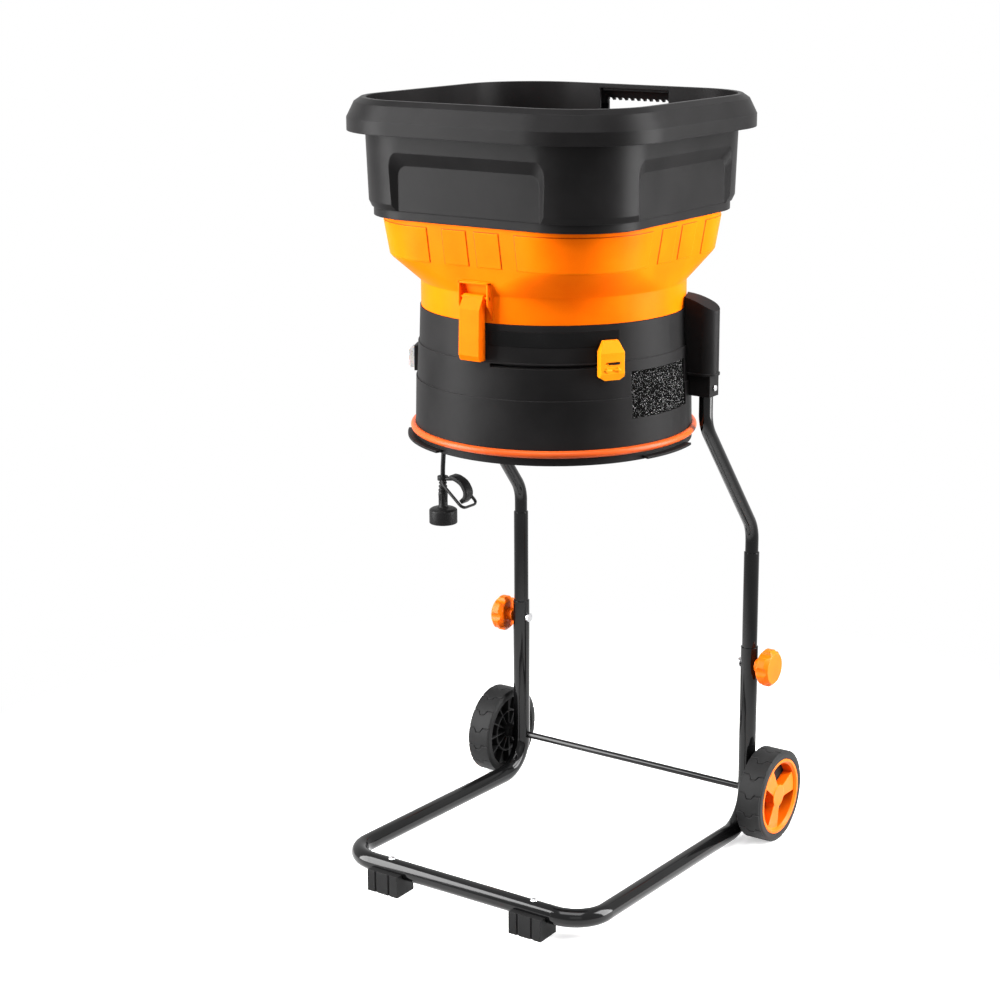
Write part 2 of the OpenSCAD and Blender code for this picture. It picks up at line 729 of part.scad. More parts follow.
module bracket_right() {
    color(black) machine() difference() {
        union() {
            intersection() {
                translate([0, 0, bracket_low_z]) linear_extrude(bracket_cap_z - bracket_low_z)
                    bracket_plan(bracket_half);
                translate([cap_crown_x, 0, bracket_cap_z - cap_arch_r]) rotate([-90, 0, 0])
                    cylinder(h = post_span, r = cap_arch_r);
            }
            translate([0, 0, bracket_low_z]) linear_extrude(bracket_rib_h)
                bracket_plan(bracket_half + bracket_rib_proud);
            translate([drum_top_r / 2, shoulder_back - socket_half, bracket_low_z - socket_h])
                cube([post_x + socket_half - drum_top_r / 2, 2 * socket_half, socket_h + cut]);
        }
        rotate_extrude() drum_outline(fit);
        cylinder(h = bracket_cap_z + cut, r = drum_top_r + fit);
        translate([post_x, shoulder_back, bracket_low_z - socket_h - cut])
            cylinder(h = tube_depth_z - bracket_low_z + socket_h + cut, d = bent_od + 2 * fit);
        translate([post_x, shoulder_back, bracket_screw_z])
            rod_x(-bent_od, bent_od, bracket_screw_d + 2 * fit);
    }
}
module bracket_left() {
    left_side() bracket_right();
}
bracket_screw_head = 2.5;
module bracket_screws() {
    color(steel) machine() for (side = [0, 1]) mirror([side, 0, 0])
        translate([post_x + socket_half, shoulder_back, bracket_screw_z]) {
            rod_x(-2 * socket_half, fit, bracket_screw_d);
            rod_x(fit, bracket_screw_head + fit, 2 * bracket_screw_d);
        }
}

// Motor deck: a plate with windows across the drum, carrying the motor under its middle
deck_r = mid_band_top_r - drum_wall - slide;
window_in_gap = 22;
window_in_r = motor_r + window_in_gap;
window_out_gap = 6;
window_out_r = ledge_in_r - window_out_gap;
window_pitch = 360 / window_count;
window_first = window_pitch / 2;
collar_gap = 4;
collar_r = window_in_r - collar_gap;
deck_hub_r = 22;
shaft_r = shaft_d / 2;
bearing_t = 8;
bearing_r = shaft_r + bearing_t;
bearing_h = 9;
deck_hub_h = bearing_h + 3 * fit;
motor_screw_out = 6;
motor_screw_r = motor_r + motor_screw_out;
motor_screw_d = 5;
module windows(h) {
    for (k = [0 : window_count - 1])
        ring_sector(window_in_r, window_out_r, window_first + k * window_pitch - window_angle / 2,
            window_first + k * window_pitch + window_angle / 2, h);
}
module motor_deck() {
    color(black) machine() difference() {
        union() {
            translate([0, 0, deck_z]) cylinder(h = deck_t, r = deck_r);
            translate([0, 0, deck_top_z - deck_t / 2])
                cylinder(h = shutter_t + slide + deck_t / 2, r = collar_r);
            translate([0, 0, deck_z - deck_hub_h]) cylinder(h = deck_hub_h + deck_t / 2, r = deck_hub_r);
        }
        translate([0, 0, deck_z - cut]) windows(deck_t + 2 * cut);
        translate([0, 0, deck_z - deck_hub_h - cut]) cylinder(h = deck_hub_h + cut, r = bearing_r + fit);
        translate([0, 0, deck_z - cut]) cylinder(h = deck_t + shutter_t + 3 * cut, r = shaft_r + slide);
        for (k = [0 : 3]) round_at(screw_first_angle + 90 * k) {
            translate([0, -deck_screw_r, deck_z - cut])
                cylinder(h = deck_t + 2 * cut, d = deck_screw_d + 2 * fit);
            translate([0, -motor_screw_r, deck_z - cut])
                cylinder(h = deck_t + shutter_t + 3 * cut, d = motor_screw_d + 2 * fit);
        }
    }
}
module deck_screws() {
    head_z = deck_z - ledge_t - fit - screw_head_t;
    color(steel) machine() for (k = [0 : 3]) round_at(screw_first_angle + 90 * k)
        translate([0, -deck_screw_r, head_z]) {
        cylinder(h = deck_top_z - head_z, d = deck_screw_d);
        cylinder(h = screw_head_t, d = 2 * deck_screw_d);
    }
}

// Motor housing: a can under the deck with a flange, vents in its floor and a bearing seat
housing_wall = 4;
housing_flange_r = motor_r + 2 * motor_screw_out;
housing_flange_t = 5;
floor_t = 4;
seat_play = 2;
seat_h = bearing_h + seat_play;
vent_count = 10;
vent_w = 5;
vent_gap = 6;
vent_in_r = bearing_r + housing_wall + vent_gap;
vent_out_r = motor_r - housing_wall - vent_gap;
duct_h = foam_top_z - foam_bottom_z;
module motor_housing() {
    color(black) machine() difference() {
        union() {
            translate([0, 0, motor_bottom_z]) cylinder(h = deck_z - motor_bottom_z, r = motor_r);
            translate([0, 0, deck_z - housing_flange_t])
                cylinder(h = housing_flange_t, r = housing_flange_r);
        }
        difference() {
            translate([0, 0, motor_bottom_z + floor_t])
                cylinder(h = deck_z - motor_bottom_z - floor_t + cut, r = motor_r - housing_wall);
            translate([0, 0, motor_bottom_z])
                cylinder(h = floor_t + seat_h, r = bearing_r + housing_wall);
        }
        translate([0, 0, motor_bottom_z + floor_t]) cylinder(h = seat_h + cut, r = bearing_r + fit);
        for (k = [0 : vent_count - 1]) round_at(k * 360 / vent_count)
            translate([-vent_w / 2, -vent_out_r, motor_bottom_z - cut])
                cube([vent_w, vent_out_r - vent_in_r, floor_t + 2 * cut]);
        for (k = [0 : 3]) round_at(screw_first_angle + 90 * k)
            translate([0, -motor_screw_r, deck_z - housing_flange_t - cut])
            cylinder(h = housing_flange_t + 2 * cut, d = motor_screw_d + 2 * fit);
        round_at(duct_angle)
            translate([-duct_in_w / 2, -motor_r - cut, foam_bottom_z + duct_wall])
                cube([duct_in_w, housing_wall + 4 * cut, duct_h - 2 * duct_wall]);
    }
}
module motor_screws() {
    color(steel) machine() for (k = [0 : 3]) round_at(screw_first_angle + 90 * k)
        translate([0, -motor_screw_r, 0]) {
        translate([0, 0, deck_z - housing_flange_t - screw_head_t])
            cylinder(h = deck_top_z - deck_z + housing_flange_t + screw_head_t, d = motor_screw_d);
        translate([0, 0, deck_z - housing_flange_t - fit - screw_head_t])
            cylinder(h = screw_head_t, d = 2 * motor_screw_d);
    }
}

// Motor inside the housing: stator, rotor on its shaft between two bearings, and a fan
low_bearing_z = motor_bottom_z + floor_t;
core_gap = 14;
core_z = low_bearing_z + seat_h + core_gap;
core_h = 46;
winding_h = 8;
module stator() {
    color(copper) machine() translate([0, 0, core_z - winding_h / 2]) difference() {
        cylinder(h = core_h + winding_h, r = motor_r - housing_wall - slide);
        translate([0, 0, -cut]) cylinder(h = core_h + winding_h + 2 * cut, r = stator_bore_r);
    }
}
air_gap = 0.6;
slot_count = 12;
slot_cut_w = 3;
slot_cut_depth = 9;
module rotor_core() {
    color(steel) machine() translate([0, 0, core_z]) difference() {
        cylinder(h = core_h, r = stator_bore_r - air_gap);
        translate([0, 0, -cut]) cylinder(h = core_h + 2 * cut, r = shaft_r + run);
        for (k = [0 : slot_count - 1]) round_at(k * 360 / slot_count)
            translate([-slot_cut_w / 2, -stator_bore_r, -cut])
                cube([slot_cut_w, slot_cut_depth, core_h + 2 * cut]);
    }
}
head_gap = 4;
head_z = shutter_z + shutter_t + head_gap;
head_disc_t = 4;
head_body_h = 15;
head_nut_h = 8;
shaft_top_z = head_z + head_disc_t + head_body_h + head_nut_h - fit;
module shaft() {
    color(steel) machine() translate([0, 0, low_bearing_z])
        cylinder(h = shaft_top_z - low_bearing_z, r = shaft_r);
}
module bearings() {
    color(steel) machine() for (z = [low_bearing_z, deck_z - bearing_h - fit])
        translate([0, 0, z]) ring(shaft_r + run, bearing_r, bearing_h);
}
fan_z = core_z + core_h + winding_h;
fan_h = 10;
fan_disc_t = 2;
fan_over = 14;
fan_r = stator_bore_r + fan_over;
fan_blades = 9;
fan_hub_t = 6;
fan_hub_r = shaft_r + fan_hub_t;
module cooling_fan() {
    color(black) machine() translate([0, 0, fan_z]) difference() {
        union() {
            cylinder(h = fan_disc_t, r = fan_r);
            cylinder(h = fan_h, r = fan_hub_r);
            for (k = [0 : fan_blades - 1]) round_at(k * 360 / fan_blades)
                translate([-fan_disc_t / 2, -fan_r + fit, fan_disc_t / 2])
                    cube([fan_disc_t, fan_r - fan_hub_r + fan_disc_t, fan_h - fan_disc_t]);
        }
        translate([0, 0, -cut]) cylinder(h = fan_h + 2 * cut, r = shaft_r + run);
    }
}

// Cutting head: a disc and boss on the shaft, with two nylon lines and a hexagon nut
head_in = 16;
head_r = collar_r - head_in;
head_body_share = 0.66;
head_body_r = head_r * head_body_share;
line_z = head_z + head_disc_t + head_body_h / 2;
line_grip = 8;
line_in_r = shaft_r + line_grip;
line_reach = drum_top_r - drum_wall - line_gap;
module line_head() {
    color(orange) machine() translate([0, 0, head_z]) difference() {
        rotate_extrude() polygon([
            [0, 0], [head_r, 0], [head_r, head_disc_t], [head_body_r, head_disc_t],
            [head_body_r, head_disc_t + head_body_h * head_shoulder_share],
            [head_body_r * head_shoulder_share, head_disc_t + head_body_h], [0, head_disc_t + head_body_h]
        ]);
        translate([0, 0, -cut]) cylinder(h = head_disc_t + head_body_h + 2 * cut, r = shaft_r + run);
        for (side = [0, 1]) mirror([side, 0, 0]) translate([0, 0, line_z - head_z])
            rod_x(line_in_r - fit, head_r, line_d + 2 * fit);
    }
}
head_shoulder_share = 0.75;
module cutting_lines() {
    color(nylon) machine() for (side = [0, 1]) mirror([side, 0, 0]) translate([0, 0, line_z])
        rod_x(line_in_r, line_reach, line_d);
}
nut_af = shaft_d * 1.5;
module head_nut() {
    color(steel) machine() translate([0, 0, head_z + head_disc_t + head_body_h]) difference() {
        cylinder(h = head_nut_h, d = nut_af / cos(30), $fn = 6);
        translate([0, 0, -cut]) cylinder(h = head_nut_h + 2 * cut, r = shaft_r + run);
    }
}

// Mulch shutter: a windowed plate that turns on the deck's collar, moved by a tab outside
shutter_rim = 7;
shutter_r = window_out_r + shutter_rim;
lug_out = 5;
lug_r = mid_band_low_r + lug_out;
module mulch_shutter() {
    color(black) machine() translate([0, 0, shutter_z]) difference() {
        union() {
            cylinder(h = shutter_t, r = shutter_r);
            round_at(tab_angle) translate([-lug_w / 2, -lug_r, 0])
                cube([lug_w, lug_r - window_out_r, shutter_t]);
        }
        translate([0, 0, -cut]) cylinder(h = shutter_t + 2 * cut, r = collar_r + slide);
        translate([0, 0, -cut]) windows(shutter_t + 2 * cut);
    }
}
tab_back_r = mid_band_low_r + slide;
tab_low_share = 0.41;
tab_low_z = high_step_z - tab_h * tab_low_share;
tab_nose_share = 0.3;
tab_chin_share = 0.16;
tab_top_depth_share = 0.45;
tab_top_w_share = 0.62;
tab_shoulder_share = 0.72;
tab_slit_h = 2.5;
tab_slit_w_share = 0.62;
tab_slit_depth = 3;
tab_slit_share = 0.42;
module mulch_tab() {
    color(orange) machine() round_at(tab_angle) translate([0, -tab_back_r, tab_low_z]) difference() {
        intersection() {
            rotate([90, 0, 90]) translate([0, 0, -tab_w / 2]) linear_extrude(tab_w) polygon([
                [0, 0], [-tab_depth * (1 - tab_chin_share), 0], [-tab_depth, tab_h * tab_chin_share],
                [-tab_depth, tab_h * (1 - tab_nose_share)], [-tab_depth * tab_top_depth_share,
                    tab_h], [0, tab_h]
            ]);
            rotate([90, 0, 0]) translate([0, 0, -cut]) linear_extrude(tab_depth + 2 * cut) polygon([
                [-tab_w / 2, tab_h * tab_chin_share / 2], [-tab_w / 2 * tab_slit_w_share, 0],
                [tab_w / 2 * tab_slit_w_share, 0], [tab_w / 2, tab_h * tab_chin_share / 2],
                [tab_w / 2, tab_h * tab_shoulder_share], [tab_w / 2 * tab_top_w_share, tab_h],
                [-tab_w / 2 * tab_top_w_share, tab_h], [-tab_w / 2, tab_h * tab_shoulder_share]
            ]);
        }
        translate([-tab_w * tab_slit_w_share / 2, -tab_depth - cut, tab_h * tab_slit_share])
            cube([tab_w * tab_slit_w_share, tab_slit_depth + cut, tab_slit_h]);
        translate([-lug_w / 2 - fit, -(lug_r - tab_back_r) - fit, shutter_z - tab_low_z - fit])
            cube([lug_w + 2 * fit, lug_r - tab_back_r + fit + cut, shutter_t + 2 * fit]);
    }
}

// Air intake: a duct from the motor housing to the foam pad behind its window in the drum
duct_angle = (foam_from_angle + foam_to_angle) / 2;
duct_wall = 2.5;
duct_in_share = 0.7;
duct_in_w = motor_r * duct_in_share;
duct_end_r = mid_band_top_r - drum_wall - foam_t;
duct_half = duct_end_r * sin((foam_to_angle - foam_from_angle) / 2);
module duct_plan(inset) {
    polygon([
        [-duct_in_w / 2 + inset, -motor_r / 2], [duct_in_w / 2 - inset, -motor_r / 2],
        [duct_half - inset, -duct_end_r], [-duct_half + inset, -duct_end_r]
    ]);
}
module intake_duct() {
    color(black) machine() round_at(duct_angle) difference() {
        intersection() {
            translate([0, 0, foam_bottom_z]) linear_extrude(duct_h) duct_plan(0);
            cylinder(h = drum_top_z, r = duct_end_r);
        }
        translate([0, 0, foam_bottom_z + duct_wall]) linear_extrude(duct_h - 2 * duct_wall) scale_duct();
        cylinder(h = drum_top_z, r = motor_r + fit);
        translate([0, 0, deck_z - housing_flange_t - fit])
            cylinder(h = deck_t + cut, r = housing_flange_r + fit);
    }
}
module scale_duct() {
    polygon([
        [-duct_in_w / 2 + duct_wall, 0], [duct_in_w / 2 - duct_wall, 0],
        [duct_half - duct_wall, -duct_end_r - cut], [-duct_half + duct_wall, -duct_end_r - cut]
    ]);
}
foam_play = 0.1;
foam_sink = 0.8;
module intake_foam() {
    color(black) machine() translate([0, 0, foam_bottom_z + slide])
        ring_sector(duct_end_r + slide, mid_band_top_r - foam_sink, foam_from_angle + foam_play,
            foam_to_angle - foam_play, foam_top_z - foam_bottom_z - 2 * slide);
}

// Wire duct: a narrow box from the motor housing to the drum wall that carries the lead
wire_w = 28;
wire_drop = 52;
wire_low_z = low_step_z - wire_drop;
wire_over = 9;
lead_r = mid_band_top_r - drum_wall - lead_in;
wire_end_r = lead_r + wire_over;
gland_wall = 3;
gland_r = lead_d / 2 + gland_wall;
module wire_duct() {
    color(black) machine() round_at(lead_angle) difference() {
        translate([-wire_w / 2, -wire_end_r, wire_low_z])
            cube([wire_w, wire_end_r - motor_r / 2, deck_z - ledge_t - wire_low_z]);
        translate([-wire_w / 2 + duct_wall, -wire_end_r + duct_wall, wire_low_z + duct_wall])
            cube([wire_w - 2 * duct_wall, wire_end_r, deck_z - ledge_t - wire_low_z - 2 * duct_wall]);
        cylinder(h = drum_top_z, r = motor_r + fit);
        translate([0, 0, deck_z - housing_flange_t - fit])
            cylinder(h = deck_t + cut, r = housing_flange_r + fit);
        translate([0, -lead_r, wire_low_z - cut]) cylinder(h = duct_wall + 2 * cut, r = gland_r + fit);
    }
}

// Switch: a bezel through the drum wall, an orange rocker on a pin line and a clear boot
bezel_back_r = mid_band_low_r + fit;
bezel_t = 5;
rocker_share = 0.5;
rocker_w = bezel_w * rocker_share;
rocker_h_share = 0.62;
rocker_h = bezel_h * rocker_h_share;
rocker_t = 4;
rocker_tilt = 8;
rocker_pivot_r = bezel_back_r + bezel_t - rocker_t / 2;
boot_t = 1;
boot_gap = 2;
boot_rise = 8;
pocket_play = 1.2;
rocker_clear = 0.7;
rocker_pin_d = 2;
rocker_stub = 2;
module switch_bezel() {
    color(black) machine() round_at(switch_angle) translate([0, 0, switch_z]) difference() {
        union() {
            translate([-bezel_w / 2, -bezel_back_r - bezel_t, -bezel_h / 2])
                cube([bezel_w, bezel_t, bezel_h]);
            translate([-switch_hole_w / 2 + fit, -bezel_back_r - fit, -switch_hole_h / 2 + fit])
                cube([switch_hole_w - 2 * fit, drum_wall + bezel_t, switch_hole_h - 2 * fit]);
        }
        translate([-rocker_w / 2 - slide, -bezel_back_r - bezel_t - cut, -rocker_h / 2 - pocket_play])
            cube([rocker_w + 2 * slide, bezel_t + cut, rocker_h + 2 * pocket_play]);
        translate([0, -rocker_pivot_r, 0]) rocker_pin(rocker_pin_d / 2 + run, rocker_stub + slide);
    }
}
module rocker_pin(r, stub) {
    rotate([0, 90, 0]) cylinder(h = rocker_w + 2 * stub, r = r, center = true);
}
module switch_rocker() {
    color(orange) machine() round_at(switch_angle) translate([0, -rocker_pivot_r, switch_z]) {
        rocker_pin(rocker_pin_d / 2, rocker_stub);
        rotate([-rocker_tilt, 0, 0]) rotate([90, 0, 90]) translate([0, 0, -rocker_w / 2])
            linear_extrude(rocker_w) polygon([
                [rocker_clear - rocker_t / 4, 0], [0, -rocker_h / 2 + rocker_clear],
                [-rocker_t, -rocker_h / 2 + rocker_clear], [-rocker_t * rocker_waist_share, 0],
                [-rocker_t, rocker_h / 2 - rocker_clear], [0, rocker_h / 2 - rocker_clear]
            ]);
    }
}
rocker_waist_share = 0.7;
module switch_boot() {
    color(clear) machine() round_at(switch_angle)
        translate([0, -bezel_back_r - bezel_t - fit, switch_z]) difference() {
            boot_block(0);
            boot_block(boot_t);
        }
}
module boot_block(inset) {
    w = rocker_w + 2 * boot_gap + 2 * boot_t - 2 * inset;
    h = rocker_h + 2 * boot_gap + 2 * boot_t - 2 * inset;
    back = inset > 0 ? cut : 0;
    rotate([90, 0, 90]) translate([0, 0, -w / 2]) linear_extrude(w) polygon([
        [back, -h / 2], [-boot_rise * boot_side_share, -h / 2],
        [-boot_rise + inset, -h / 2 * boot_top_share], [-boot_rise + inset, h / 2 * boot_top_share],
        [-boot_rise * boot_side_share, h / 2], [back, h / 2]
    ]);
}
boot_side_share = 0.7;
boot_top_share = 0.75;

// Funnel: a square band with shallow pads, a cone to the round neck, a spigot into the drum
// and two latch pockets
neck_step = 1.3;
neck_r = drum_top_r - neck_step;
spigot_r = drum_top_r - drum_wall - slide;
spigot_h = 16;
slab = 0.5;
pad_t = 0.8;
pad_top_drop = 7;
pad_near = 6.5;
pad_far = 44;
pad_corner = 68;
pocket_wall = 2.5;
pocket_out = 9.6;
pocket_front_r = neck_r + pocket_out;
pocket_rise = 17;
pocket_top_z = neck_top_z + pocket_rise;
pocket_low_z = drum_top_z + cut;
pocket_bend_drop = 9;
pocket_bend_z = latch_pin_z - pocket_bend_drop;
band_h = funnel_top_z - funnel_cone_z;
latch_pin_out = 5.6;
latch_pin_y = neck_r + latch_pin_out;
module band_solid(grow, over) {
    lean = (funnel_top_r - funnel_low_r) / band_h;
    translate([0, 0, funnel_cone_z])
        square_taper(funnel_centre, funnel_low_r + grow, funnel_top_r + grow + over * lean,
            band_h + over);
}
module cone_solid(shrink) {
    hull() {
        translate([0, 0, funnel_cone_z - slab]) for (sx = [-1, 1], sy = [-1, 1])
            translate([sx * funnel_centre, sy * funnel_centre, 0])
                cylinder(h = slab, r = funnel_low_r - shrink, $fn = 64);
        translate([0, 0, neck_top_z]) cylinder(h = slab, r = neck_r - shrink, $fn = 128);
    }
}
module funnel_pads() {
    pad_z = funnel_cone_z;
    pad_h = band_h - pad_top_drop;
    far = funnel_centre + funnel_top_r + cut;
    intersection() {
        band_solid(pad_t, 0);
        for (k = [0 : 3]) rotate([0, 0, 90 * k]) {
            for (side = [0, 1]) mirror([side, 0, 0])
                translate([pad_near, -far, pad_z]) cube([pad_far - pad_near, far, pad_h]);
            translate([pad_corner, -far, pad_z]) cube([far - pad_corner, far - pad_corner, pad_h]);
        }
    }
}
module latch_pocket() {
    outer_half = pocket_w / 2 + pocket_wall;
    for (side = [0, 1]) mirror([side, 0, 0])
        translate([pocket_w / 2, 0, 0]) rotate([90, 0, 90]) linear_extrude(pocket_wall) polygon([
            [-neck_r + funnel_wall, pocket_low_z], [-pocket_front_r, pocket_bend_z],
            [-pocket_front_r, pocket_top_z], [-neck_r + funnel_wall, pocket_top_z]
        ]);
    translate([-outer_half, -pocket_front_r, pocket_top_z - pocket_wall])
        cube([2 * outer_half, pocket_front_r - neck_r + funnel_wall, pocket_wall]);
}
module funnel() {
    color(orange) machine() difference() {
        union() {
            band_solid(0, 0);
            funnel_pads();
            cone_solid(0);
            translate([0, 0, drum_top_z]) cylinder(h = neck_top_z - drum_top_z + slab, r = neck_r);
            translate([0, 0, drum_top_z - spigot_h]) cylinder(h = spigot_h + cut, r = spigot_r);
            latch_pocket();
            back_side() latch_pocket();
        }
        band_solid(-funnel_wall, cut);
        cone_solid(funnel_wall);
        translate([0, 0, funnel_cone_z - 2 * slab])
            square_taper(funnel_centre, funnel_low_r - funnel_wall, funnel_low_r - funnel_wall, 3 * slab);
        translate([0, 0, drum_top_z])
            cylinder(h = neck_top_z - drum_top_z + 2 * slab, r = neck_r - funnel_wall);
        translate([0, 0, drum_top_z - spigot_h - cut])
            cylinder(h = spigot_h + 2 * cut, r = spigot_r - funnel_wall);
        for (back = [0, 1]) mirror([0, back, 0]) translate([0, -latch_pin_y, latch_pin_z])
            rod_x(-pocket_w, pocket_w, latch_pin_d + 2 * fit);
    }
}

// Latches: wedge levers on pins in the funnel's pockets, each with a lip under a catch
knuckle_wall = 2.4;
knuckle_r = latch_pin_d / 2 + knuckle_wall;
lever_out = 17;
lever_front_y = top_band_low_r + lever_out;
lever_back_gap = 1;
lever_skin = 3;
lever_shoulder_drop = 14;
lever_shoulder_z = latch_pin_z - lever_shoulder_drop;
lever_chamfer = 7;
lever_shoulder = 2;
lever_shoulder_y = lever_front_y - lever_shoulder;
lever_side_y = mid_band_top_r + slide;
module lever_front() {
    color(orange) machine() difference() {
        union() {
            translate([0, -latch_pin_y, latch_pin_z]) rod_x(-lever_w / 2, lever_w / 2, 2 * knuckle_r);
            rotate([90, 0, 90]) translate([0, 0, -lever_w / 2]) linear_extrude(lever_w) polygon([
                [-latch_pin_y - knuckle_r, latch_pin_z], [-lever_shoulder_y, lever_shoulder_z],
                [-lever_front_y, lever_low_z + lever_chamfer], [-lever_front_y + lever_chamfer / 2,
                    lever_low_z],
                [-lever_side_y, lever_low_z], [-lever_side_y, lever_shoulder_z],
                [-latch_pin_y + knuckle_r, latch_pin_z - fit], [-latch_pin_y, latch_pin_z]
            ]);
        }
        translate([0, -latch_pin_y, latch_pin_z]) rod_x(-lever_w, lever_w, latch_pin_d + 2 * run);
        translate([-catch_w / 2 - lever_back_gap, -lever_front_y + lever_skin, lever_low_z + lever_lip_h])
            cube([catch_w + 2 * lever_back_gap, lever_front_y,
                lever_shoulder_z - lever_low_z - 2 * lever_lip_h]);
    }
}
module latch_front() {
    lever_front();
}
module latch_back() {
    machine() back_side() translate([0, centre_y, 0]) lever_front();
}
module latch_pins() {
    color(steel) machine() for (back = [0, 1]) mirror([0, back, 0])
        translate([0, -latch_pin_y, latch_pin_z])
        rod_x(-pocket_w / 2 - pocket_wall, pocket_w / 2 + pocket_wall, latch_pin_d);
}

// Hopper: a bottomless square tub with an overhanging rim, recessed side panels, a skirt and
// spigot that sit on the funnel, and a hand slot in the back
skirt_in = 6;
hopper_low_r = funnel_centre + funnel_top_r + hopper_step - hopper_centre;
hopper_top_r = hopper_low_r + hopper_flare;
hopper_low_z = funnel_top_z + hopper_lift;
rim_top_z = hopper_low_z + hopper_h;
rim_low_z = rim_top_z - rim_h;
rim_r = hopper_top_r + rim_over;
skirt_r = hopper_low_r - skirt_in;
plug_h = 20;
plug_play = 0.5;
plug_least = 4;
plug_lean = max(plug_least, plug_h * (funnel_top_r - funnel_low_r) / band_h + plug_play);
plug_r = funnel_top_r - funnel_wall - slide - plug_lean;
wall_round_h = 8;
wall_round_in = 3.4;
rim_lip_h = 6;
rim_lip_in = 9;
rim_slope = 10;
rim_skin = 3.5;
rim_band_z = rim_low_z + rim_band_h;
rim_slope_z = rim_top_z - rim_lip_h;
floor_lift = 1;
floor_z = hopper_low_z + floor_lift;
floor_in_r = hopper_low_r - wall_round_in - hopper_wall;
panel_drop = 40;
panel_rise = rim_low_z - panel_drop - hopper_low_z;
panel_bevel = 9;
panel_top_bevel = 11;
panel_round = 14;
grip_lift = 2;
grip_z = rim_band_z + grip_lift;
hand_slot_drop = 15;
hand_slot_z = rim_low_z - hand_slot_drop;
wave_count = 11;
wave_share = 0.07;
wave_r = slot_half * wave_share;
wave_pitch = 2 * slot_half / wave_count;
function wall_r(z) =
    hopper_low_r + (hopper_top_r - hopper_low_r) * (z - hopper_low_z) / (rim_top_z - hopper_low_z);
module hopper_wall_solid(inset, low_z, high_z) {
    translate([0, 0, low_z])
        square_taper(hopper_centre, wall_r(low_z) - inset, wall_r(high_z) - inset, high_z - low_z);
}
module rim_solid(inset) {
    translate([0, 0, rim_low_z - (inset > 0 ? cut : 0)])
        square_taper(hopper_centre, rim_r - inset, rim_r - inset, rim_band_h - inset + (inset > 0 ? cut : 0));
    translate([0, 0, rim_band_z - inset])
        square_taper(hopper_centre, rim_r - inset, rim_r - rim_slope - inset, rim_slope_z - rim_band_z);
}
// Outline of a panel's flat face: straight sides, rounded top corners, open below the wall
module panel_shape(grow) {
    wide = panel_half - panel_bevel + grow;
    top = panel_rise + grow;
    translate([-wide, -wide]) square([2 * wide, wide + top - panel_round]);
    translate([-wide + panel_round, 0]) square([2 * (wide - panel_round), top]);
    for (sx = [-1, 1]) translate([sx * (wide - panel_round), top - panel_round])
        circle(panel_round, $fn = 32);
}
// A panel on the front, growing outwards by its bevel from the flat face
module panel_block(grow, face) {
    wide = panel_half - panel_bevel + grow;
    translate([0, -face, hopper_low_z]) rotate([90, 0, 0])
        linear_extrude(2 * panel_depth, slices = 1, segments = 0, scale = [1 + 2 * panel_bevel / wide,
            1 + 2 * panel_top_bevel / (panel_rise + grow)], $fn = 12) panel_shape(grow);
}
module hopper() {
    low_face = hopper_centre + hopper_low_r - panel_depth;
    color(black) machine() difference() {
        union() {
            hopper_wall_solid(0, hopper_low_z + wall_round_h, rim_top_z - rim_lip_h / 2);
            translate([0, 0, hopper_low_z])
                square_taper(hopper_centre, hopper_low_r - wall_round_in,
                    wall_r(hopper_low_z + wall_round_h), wall_round_h);
            translate([0, 0, funnel_top_z])
                square_taper(hopper_centre, skirt_r, skirt_r, hopper_low_z - funnel_top_z);
            translate([0, 0, funnel_top_z - plug_h])
                square_taper(funnel_centre, plug_r, plug_r, plug_h + cut);
            difference() {
                union() {
                    rim_solid(0);
                    translate([0, 0, rim_slope_z])
                        square_taper(hopper_centre, rim_r - rim_slope, rim_r - rim_slope - rim_lip_in,
                            rim_lip_h);
                }
                rim_solid(rim_skin);
            }
        }
        difference() {
            union() {
                hopper_wall_solid(hopper_wall, floor_z + wall_round_h, rim_top_z + cut);
                translate([0, 0, floor_z]) square_taper(hopper_centre, floor_in_r,
                    wall_r(floor_z + wall_round_h) - hopper_wall, wall_round_h);
            }
            for (k = [0 : 3]) rotate([0, 0, 90 * k])
                panel_block(hopper_wall, low_face - hopper_wall);
        }
        translate([0, 0, funnel_top_z - plug_h - cut])
            square_taper(funnel_centre, plug_r - hopper_wall, plug_r - hopper_wall,
                plug_h + floor_z - funnel_top_z + 2 * cut);
        for (k = [0 : 3]) rotate([0, 0, 90 * k]) panel_block(0, low_face);
        translate([-slot_half, hopper_centre, hand_slot_z])
            cube([2 * slot_half, rim_r + cut, grip_z - hand_slot_z]);
        translate([-slot_half, hopper_centre, hand_slot_z])
            cube([2 * slot_half, hopper_top_r + slide, rim_slope_z - hand_slot_z]);
        for (k = [0 : wave_count - 1])
            translate([-slot_half + wave_pitch / 2 + k * wave_pitch, hopper_centre, grip_z])
                rotate([-90, 0, 0]) cylinder(h = rim_r + cut, r = wave_r, $fn = 24);
    }
}

// Power lead: a gland under the wire duct, a short hanging cord and a shrouded plug with a
// retaining hook for an extension lead
gland_h = 12;
lead_x = -lead_r * sin(-lead_angle);
lead_y = -lead_r * cos(lead_angle);
gland_low_z = wire_low_z - gland_h;
plug_h_shroud = 27;
plug_neck_h = 22;
plug_neck_d = 15;
relief_h = 20;
relief_low_z = plug_z + plug_h_shroud + plug_neck_h;
relief_top_z = relief_low_z + relief_h;
